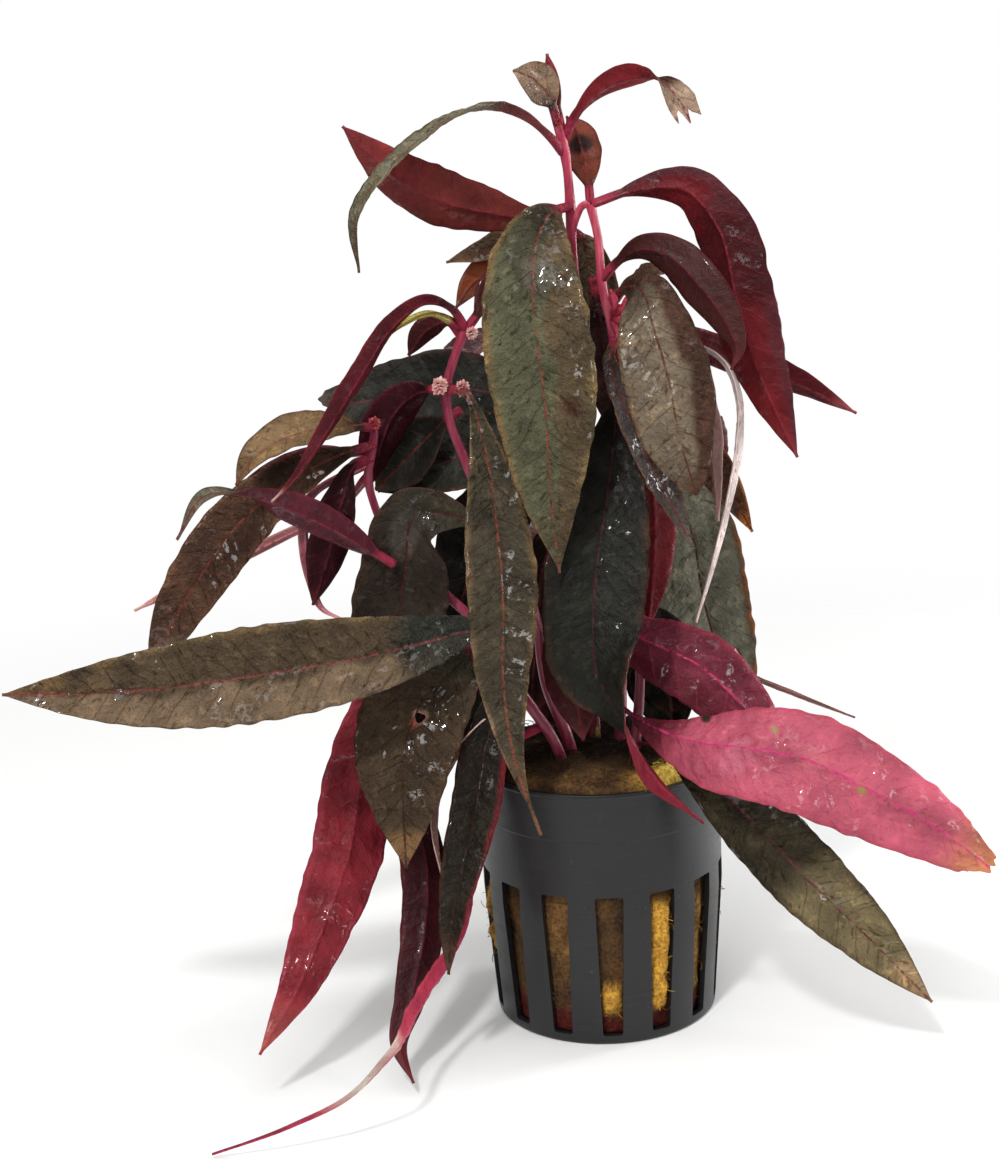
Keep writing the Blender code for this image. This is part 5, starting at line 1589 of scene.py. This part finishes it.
def wool_outline():
    """Profile of the plug with rows close together."""
    gap = POT_WALL + WOOL_GAP
    coarse = np.array([
        (0, gap), (pot_radius(gap) - gap, gap), (pot_radius(POT_STRAIGHT_FROM) - gap, POT_STRAIGHT_FROM),
        (pot_radius(POT_HEIGHT) - gap, POT_HEIGHT - 1), (22.6, POT_HEIGHT + 0.6), (21.0, WOOL_SHOULDER),
        (14, WOOL_CROWN - 0.7), (0, WOOL_CROWN)])
    lengths = np.concatenate([[0.0], np.cumsum(np.linalg.norm(np.diff(coarse, axis=0), axis=1))])
    wanted = np.linspace(0, lengths[-1], int(lengths[-1] / WOOL_STEP))
    return np.stack([np.interp(wanted, lengths, coarse[:, axis]) for axis in range(2)], axis=1)


print("The wool's outline has", len(wool_outline()), "points")

# %% [markdown]
# The wool bulges into the slots, each in its own way, and a bright frayed tuft stands at the right of
# the rim. It is soaked dark red at the foot of the slots and brown on top, where painted shade darkens
# the back. The wool in each slot is painted as bright as the light that falls into it. Each point is
# moved and painted by how far it faces a slot, the tuft and the top, which sculpting by hand can't repeat.

# %% Body of the wool
# Each slot's wool: lowest and highest place of its bulge, how far it swells, and how bright it is painted, a
# painted light: brightest in the two front slots, darkest at the front left.
SLOT_WOOL = {0: (7.0, 14.0, 1.5, 0.80), 1: (6.5, 31.0, 1.7, 0.95), 2: (8.0, 30.0, 0.7, 0.22),
             13: (8.0, 28.0, 0.2, 0.02), 12: (9.0, 28.0, 0.3, 0.0), 11: (14.0, 31.0, 1.9, 0.40)}
EVEN_WOOL = (8.0, 30.0, 0.8, 0.3)
SHADED_TOP = (-19.0, -9.0)
TUFT_PLACE = (13.2, -18.2)
TUFT_SIZE = (5.4, 2.6)
TUFT_HEIGHT = 3.0
WOOL_LUMP = 4.5
WOOL_DARK = (0.038, 0.020, 0.009)
WOOL_OCHRE = (0.165, 0.080, 0.024)
WOOL_BRIGHT = (0.74, 0.39, 0.050)
WOOL_TUFT = (0.95, 0.70, 0.14)
WOOL_SODDEN = (0.090, 0.010, 0.006)


def lump(place, size, seed):
    """Soft noise of about -1 to 1 at a place, with lumps of that size."""
    return noise.noise(Vector(place) / size + Vector((seed, 0.0, 0.0)))


def step_of(value, low, high):
    """Rise smoothly from 0 to 1 while one number goes from low to high."""
    return float(rise(np.array(value), low, high))


def between(first, second, share):
    """Mix two colours of one point."""
    return np.array(first) * (1 - share) + np.array(second) * share


def tuft_share(x, y, z, outward):
    """How much a point belongs to the tuft, from 0 to 1."""
    along_rim = np.array((-outward[1], outward[0]))
    offset = np.array([x - TUFT_PLACE[0], y - TUFT_PLACE[1]])
    radial = offset @ outward[:2] / TUFT_SIZE[1]
    lateral = offset @ along_rim / TUFT_SIZE[0]
    return math.exp(-(radial**2 + lateral**2)) if z > 50 else 0.0


def wool_point(x, y, z):
    """Work out a point's new place in mm, its colour and how frayed it is."""
    reach = math.hypot(x, y)
    outward = np.array([x, y, 0.0]) / max(reach, 1e-6)
    angle = math.atan2(y, x) + math.pi / 2
    number = round(angle / math.tau * SLOT_COUNT) % SLOT_COUNT
    low, high, swelling, painted_light = SLOT_WOOL.get(number, EVEN_WOOL)
    in_slot = step_of(math.cos(SLOT_COUNT * angle), 0.05, 0.8)
    window = step_of(z, low - 2, low + 1) * (1 - step_of(z, high - 3, high))
    side = (1 - step_of(z, 52.5, 54.5)) * step_of(reach, 18, 21)
    top = 1.0 if z > 53.8 else 0.0
    tuft = tuft_share(x, y, z, outward)

    lumps = 1 + 0.9 * lump((x, y, z), 3.2, 3.0)
    rough = 0.55 * lump((x, y, z), WOOL_LUMP, 7.0) + 0.3 * lump((x, y, z), 1.6, 9.0)
    push = side * (in_slot * window * swelling * lumps - 0.5 + 0.35 * rough * (1 + in_slot))
    lift = top * (rough + tuft * TUFT_HEIGHT)
    place = Vector((x + outward[0] * push, y + outward[1] * push, z + lift))

    # Wool in the slots is painted as bright as the light that reaches it: painted light.
    bright = np.clip(tuft * 1.8 + side * in_slot * window * painted_light, 0, 1)
    mottle = np.clip(0.5 + 0.9 * lump((x, y, z), 6.0, 21.0), 0, 1)
    sodden = (1 - step_of(z + 1.5 * rough, low - 3, low + 1)) * side
    # The back of the top is painted darker: painted shade.
    colour = between(WOOL_DARK, WOOL_OCHRE, mottle) * (1 - 0.78 * top * step_of(y, *SHADED_TOP))
    colour = between(colour, between(WOOL_BRIGHT, WOOL_TUFT, tuft), bright)
    fray = 0.25 + 0.75 * top + 1.8 * tuft + 0.6 * bright if z > 4 else 0.0
    return place, between(colour, WOOL_SODDEN, sodden), fray


def wool_body():
    """Make the lumpy plug, with its colour and how frayed it is on each point."""
    mesh = spun("wool_body", wool_outline(), WOOL_SIDES)
    colours, frays = [], []
    for corner in mesh.vertices:
        place, colour, fray = wool_point(*(corner.co / MM))
        corner.co = place * MM
        colours.append(colour)
        frays.append(fray)
    paint = mesh.attributes.new("wool_colour", "FLOAT_COLOR", "POINT")
    paint.data.foreach_set("color", np.concatenate([colours, np.ones((len(colours), 1))], axis=1).ravel())
    frayed = mesh.attributes.new("frayed", "FLOAT", "POINT")
    frayed.data.foreach_set("value", frays)
    return mesh


plug = wool_body()
print("The plug without its fibres has", len(plug.polygons), "faces")

# %% [markdown]
# From near by the felt is matt and mottled: its fibres shade each other in specks, and it lies in
# small clumps. Two noises, a fine and a coarse one, give both the colour and the bump.

# %% Finish of the wool
SHADED_WOOL = (0.42, 0.38, 0.34)
CLUMP = (0.46, 0.27, 0.07)


def wool_finish():
    """Felted mineral fibre: matt, matted and mottled."""
    finish = Finish("growing_wool", Specular_IOR_Level=0.25)
    tint = finish.attribute("wool_colour", 0)
    felt = finish.grain(finish.place, 1300.0, 4.0, 0.7)
    clumps = finish.grain(finish.place, 330.0, 3.0, 0.6)
    shaded = finish.blend(1.0, tint, rgba(SHADED_WOOL), "MULTIPLY")
    colour = finish.blend(finish.step(felt, 0.35, 0.62), shaded, tint)
    colour = finish.blend(finish.step(clumps, 0.58, 0.78) * 0.35, colour, rgba(CLUMP))
    finish.feed("Base Color", colour)
    finish.feed("Roughness", felt * 0.2 + 0.75)
    finish.bump(felt * 0.6 + clumps * 0.4, 0.4, 1.0)
    return finish.material


FELT = wool_finish()
print("Wool finish:", FELT.name)

# %% [markdown]
# Loose ends stand off the felt. Hair wouldn't be exported, so a tree scatters short bent fibres over
# the plug, more of them where it is frayed. A fibre is a ring of three points swept along a bow,
# because thousands of them have to stay light.

# %% The growing wool
FIBRE_DENSITY = 650000.0
FIBRE_RADIUS = 0.06
FIBRE_LENGTH = 2.0
FIBRE_LEAN = 0.5


def fibre_recipe():
    """Scatter short bent fibres over a surface and keep the surface."""
    recipe = Recipe("fibres", Density=FIBRE_DENSITY, Thickness=FIBRE_RADIUS * MM,
                    Length=FIBRE_LENGTH * MM, Seed=5)
    dense = recipe.add("GeometryNodeInputNamedAttribute", {"data_type": "FLOAT"}, {"Name": "frayed"})
    scatter = recipe.tree.nodes.new("GeometryNodeDistributePointsOnFaces")
    for key, value in (("Mesh", recipe.given("Geometry")), ("Density", dense * recipe.given("Density")),
                       ("Seed", recipe.given("Seed"))):
        recipe.tree.links.new(value.socket, scatter.inputs[key])
    length = recipe.given("Length")
    middle = recipe.add("ShaderNodeCombineXYZ", None, {"X": length * 0.35, "Z": length * 0.55})
    end = recipe.add("ShaderNodeCombineXYZ", None, {"X": length, "Y": length * 0.2, "Z": length * 0.15})
    bow = recipe.add("GeometryNodeCurveQuadraticBezier", None,
                     {"Resolution": 4, "Start": (0.0, 0.0, 0.0), "Middle": middle, "End": end})
    ring = recipe.add("GeometryNodeCurvePrimitiveCircle", {"mode": "RADIUS"},
                      {"Resolution": 3, "Radius": recipe.given("Thickness")})
    fibre = recipe.add("GeometryNodeCurveToMesh", None,
                       {"Curve": bow, "Profile Curve": ring, "Fill Caps": True})
    spin = recipe.add("FunctionNodeRandomValue", {"data_type": "FLOAT_VECTOR"},
                      {"Min": (-FIBRE_LEAN, -FIBRE_LEAN, -math.pi), "Max": (FIBRE_LEAN, FIBRE_LEAN, math.pi),
                       "Seed": recipe.given("Seed")})
    turned = recipe.add("FunctionNodeRotateRotation", {"rotation_space": "LOCAL"},
                        {0: Wire(recipe, scatter.outputs["Rotation"]), 1: spin})
    size = recipe.add("FunctionNodeRandomValue", {"data_type": "FLOAT"},
                      {"Min": 0.5, "Max": 1.5, "Seed": recipe.given("Seed")}, out=1)
    points = Wire(recipe, scatter.outputs["Points"])
    fibres = recipe.add("GeometryNodeInstanceOnPoints", None,
                        {"Points": points, "Instance": fibre, "Rotation": turned, "Scale": size})
    recipe.close(recipe.join(recipe.given("Geometry"), fibres))
    return recipe


wool = fibre_recipe().grow("wool_plug", plug, FELT)
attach(wool, BODY)
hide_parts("wool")
print("The wool has", len(wool.data.polygons), "faces")

# %% [markdown]
# Sessile joyweed flowers in tiny scaly heads that sit right in the leaf nodes. A head is given as a
# place on the drawing, a radius, a count of scales and one of two kinds, pale or rosy.

# %% Flower heads and young shoots
HEADS = {
    "head_left": ((-35.4, 129, 12.0), 1.5, 44, "pale"),
    "head_left_right": ((-30.6, 128.6, 12.0), 1.3, 40, "pale"),
    "head_far_left": ((-49.3, 121.0, 6.5), 1.2, 34, "rosy"),
    "head_upper_left": ((-28.6, 140.2, 10.8), 1.1, 34, "pale"),
    "head_crown": ((-10.2, 185.0, 4.2), 0.8, 24, "rosy"),
    "shoot_right": ((1.9, 145.5, 5.2), 1.1, 26, "rosy"),
}
HEAD_COLOURS = {
    "pale": ((0.74, 0.50, 0.44), (0.52, 0.17, 0.17)),
    "rosy": ((0.42, 0.06, 0.06), (0.22, 0.012, 0.020)),
}


def head_finish(name):
    """Papery scales, paler towards the light and darker in their creases."""
    pale, deep = HEAD_COLOURS[name]
    finish = Finish("scales_" + name, Specular_IOR_Level=0.45)
    specks = finish.grain(finish.place, 900.0, 3.0, 0.6)
    finish.feed("Base Color", finish.blend(finish.step(specks, 0.35, 0.65), rgba(deep), rgba(pale)))
    finish.feed("Roughness", specks * 0.3 + 0.3)
    finish.bump(specks, 0.1, 0.6)
    return finish.material


SCALE_FINISHES = {kind: head_finish(kind) for kind in HEAD_COLOURS}
print(len(HEADS), "heads in", len(SCALE_FINISHES), "finishes")

# %% [markdown]
# Scattering the scales at random would leave gaps, so their points climb an oval in a spiral by the
# golden angle, which spreads them evenly.

# %% Points of a flower head
GOLDEN_ANGLE = math.pi * (3 - math.sqrt(5))
HEAD_OVAL = (1.0, 1.0, 1.25)


def head_points(centre, radius, count):
    """Place points evenly over a small oval, each with the direction that it faces."""
    heights = 1 - 2 * (np.arange(count) + 0.5) / count
    rings = np.sqrt(1 - heights**2)
    angles = np.arange(count) * GOLDEN_ANGLE
    outward = np.stack([rings * np.cos(angles), rings * np.sin(angles), heights], axis=1)
    uneven_reach = 0.62 + 0.16 * np.sin(angles * 2.3)[:, None]
    points = centre + outward * radius * np.array(HEAD_OVAL) * uneven_reach
    mesh = bpy.data.meshes.new("head_points")
    mesh.from_pydata((points * MM).tolist(), [], [])
    facing = mesh.attributes.new("facing", "FLOAT_VECTOR", "POINT")
    facing.data.foreach_set("vector", outward.ravel())
    return mesh


print("Each scale is turned", round(math.degrees(GOLDEN_ANGLE), 1), "degrees from the one before")

# %% [markdown]
# A small tree shapes a ball into a flat pointed scale and sets a copy on every point, facing outwards,
# no two quite the same size.

# %% The flower heads
SCALE_SHARE = 0.30


def scale_recipe():
    """Set one pointed scale on every point, facing outwards."""
    recipe = Recipe("scales", Size=0.001, Seed=3)
    ball = recipe.add("GeometryNodeMeshIcoSphere", None, {"Radius": 1.0, "Subdivisions": 2})
    across, deep, high = recipe.parts_of(recipe.add("GeometryNodeInputPosition"))
    taper = 1.0 - recipe.step(high, -0.2, 1.1) * 0.62
    shaped = recipe.add("ShaderNodeCombineXYZ", None,
                        {"X": across * taper * 0.9, "Y": deep * taper * 0.28, "Z": high * 1.05 + 0.7})
    scale = recipe.add("GeometryNodeSetPosition", None, {"Geometry": ball, "Position": shaped})
    facing = recipe.add("GeometryNodeInputNamedAttribute", {"data_type": "FLOAT_VECTOR"}, {"Name": "facing"})
    turn = recipe.add("FunctionNodeAlignRotationToVector", {"axis": "Z"}, {"Vector": facing})
    size = recipe.add("FunctionNodeRandomValue", {"data_type": "FLOAT"},
                      {"Min": 0.75, "Max": 1.2, "Seed": recipe.given("Seed")}, out=1)
    scales = recipe.add("GeometryNodeInstanceOnPoints", None, {
        "Points": recipe.given("Geometry"), "Instance": scale, "Rotation": turn,
        "Scale": size * recipe.given("Size")})
    recipe.close(scales)
    return recipe


SCALES = scale_recipe()
for head_name, (head_place, head_radius, head_count, head_kind) in HEADS.items():
    head_mesh = head_points(from_drawing(*head_place), head_radius, head_count)
    head = SCALES.grow(head_name, head_mesh, SCALE_FINISHES[head_kind], Size=head_radius * SCALE_SHARE * MM)
    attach(head, BODY)
print(len(HEADS), "flower heads and shoots")

# %% [markdown]
# Some blades show only in part, as slivers between the big leaves or as dark shapes deep in the
# plant, painted nearly black as painted shade. They have no solid of their own, and are drawn like the
# leaves. What differs from their look stands at the end of each.

# %% Slivers of leaf
SLIVERS = {
    "sliver_white_edge": ("pale_pink", 5.5, 6, [
        (-21, 62, 11.5, -80), (-27, 57.3, 17, -80), (-32.1, 51.6, 19, -76), (-35.9, 44.7, 20, -72),
        (-36.8, 35.1, 21, -72), (-34.7, 24.6, 22, -75)], {}),
    "sliver_back_right": ("maroon", 5, 6, [
        (6.5, 72, 7, -70), (18, 72, 0, -75), (33.4, 66.3, -4, -75), (43, 62.5, -4, -75), (52.5, 59, -4, -75)],
        dict(upper=(0.20, 0.09, 0.07), under=(0.20, 0.05, 0.05), tip=(0.30, 0.17, 0.13))),
    "sliver_orange_tip": ("brown", 8, 10, [
        (2, 126, 3, 20), (12, 124, -2, 20), (20, 116, -6, 20), (26.5, 106, -7, 15), (30.8, 98.2, -7, 15)],
        dict(tip=(0.38, 0.13, 0.03), margin=(0.32, 0.12, 0.04))),
    "sliver_hanging": ("pale_pink", 2.6, 8, [
        (-50, 113, 4.5, 150), (-63.6, 104, 8, 140), (-64, 95.4, 9, 140), (-62.6, 88, 10, 150),
        (-60.3, 82, 11, 160), (-55.8, 79.5, 12, 165)],
        dict(under=(0.30, 0.09, 0.11), margin=(0.5, 0.2, 0.22))),
    "sliver_low_left": ("dark_green", 13, 8, [
        (-16, 80, 4, 10), (-24, 76, 5, 10), (-28.5, 66, 7, 8), (-29.8, 57, 8, 5), (-30.3, 50, 9, 5)],
        dict(upper=(0.040, 0.042, 0.030), gloss=0.1)),
    "sliver_behind_hole": ("dark_green", 9, 6, [
        (-34, 72, 5, 0), (-37.5, 65, 5, 0), (-40, 57.5, 5, 0), (-41.5, 51, 5, 0)], dict(gloss=0.1)),
    "sliver_deep_left": ("maroon", 13, 8, [
        (-3, 92, -12, 0), (-5, 84, -14, 0), (-9.5, 70, -15, 0), (-13.5, 55, -15.5, 0)],
        dict(upper=(0.020, 0.010, 0.009), gloss=0.1)),
    "sliver_deep_right": ("dark_green", 15, 8, [
        (5, 84, -12, 0), (8.5, 75, -14, 0), (12, 65, -15, 0), (15, 55, -15.5, 0)],
        dict(upper=(0.014, 0.013, 0.009), gloss=0.1)),
    "sliver_between": ("dark_green", 14, 8, [
        (-31, 124, 0, 20), (-36, 120, -2, 25), (-43, 113, -4, 30), (-49, 107, -5, 30)],
        dict(upper=(0.014, 0.013, 0.010), gloss=0.1)),
    "sliver_gap": ("maroon", 8, 8, [
        (-3, 152, 2, 10), (-1.5, 144, 0, 10), (0, 132, -1, 10), (2, 118, -2, 8)],
        dict(upper=(0.05, 0.022, 0.022))),
    "sliver_side": ("maroon", 6, 8, [
        (-30, 140.5, 9, -150), (-27.5, 144, 9, -150), (-24.5, 149, 7, -150), (-22, 155.5, 5, -150)], {}),
    "sliver_yellow": ("olive", 3, 6, [
        (-31, 141.5, 9, 60), (-37.4, 144.4, 14, 60), (-43.8, 141.7, 17, 60), (-49.4, 137.2, 19, 60)],
        dict(upper=(0.42, 0.36, 0.08), inner=(0.42, 0.34, 0.08), under=(0.42, 0.36, 0.10),
             tip=(0.40, 0.38, 0.12), margin=(0.45, 0.40, 0.12))),
}
print(len(SLIVERS), "slivers")

# %% [markdown]
# A tuft of young rosy leaves stands in a node on the right. They share one foot and differ only in
# where their tips are, so a loop draws them. All of these grow through the same function as the other
# leaves and stand for no solid.

# %% Young leaves and the growing of the slivers
YOUNG_ROSE = dict(upper=(0.30, 0.03, 0.06), under=(0.42, 0.05, 0.09), tip=(0.50, 0.10, 0.14),
                  margin=(0.40, 0.06, 0.09))
YOUNG_TIPS = [(4.6, 148.5, 8.0), (5.4, 143.0, 9.0), (0.6, 149.5, 7.5), (3.2, 137.5, 8.5), (5.8, 139.5, 7.0)]
YOUNG_FOOT = (1.4, 143.0, 4.6)
YOUNG_TURN = 150
YOUNG_ARCH = 0.5

for young_index, young_tip in enumerate(YOUNG_TIPS):
    bend_across = (YOUNG_FOOT[0] + young_tip[0]) / 2 + YOUNG_ARCH
    bend = (bend_across, (YOUNG_FOOT[1] + young_tip[1]) / 2, young_tip[2] - YOUNG_ARCH)
    young_rows = [(*place, YOUNG_TURN) for place in (YOUNG_FOOT, bend, young_tip)]
    SLIVERS["young_leaf_%d" % young_index] = ("crimson", 1.9, 14, young_rows, YOUNG_ROSE)

for sliver_name, (sliver_colour, sliver_width, sliver_fold, sliver_rows, own_look) in SLIVERS.items():
    sliver_look = {**LOOKS[sliver_colour], **own_look}
    sliver = make_blade(sliver_name, [from_drawing(*row[:3]) for row in sliver_rows],
                        [row[3] for row in sliver_rows], towards_eye, sliver_width, sliver_fold, sliver_look)
    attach(sliver, BODY)
print(len(SLIVERS), "slivers and young leaves have grown")
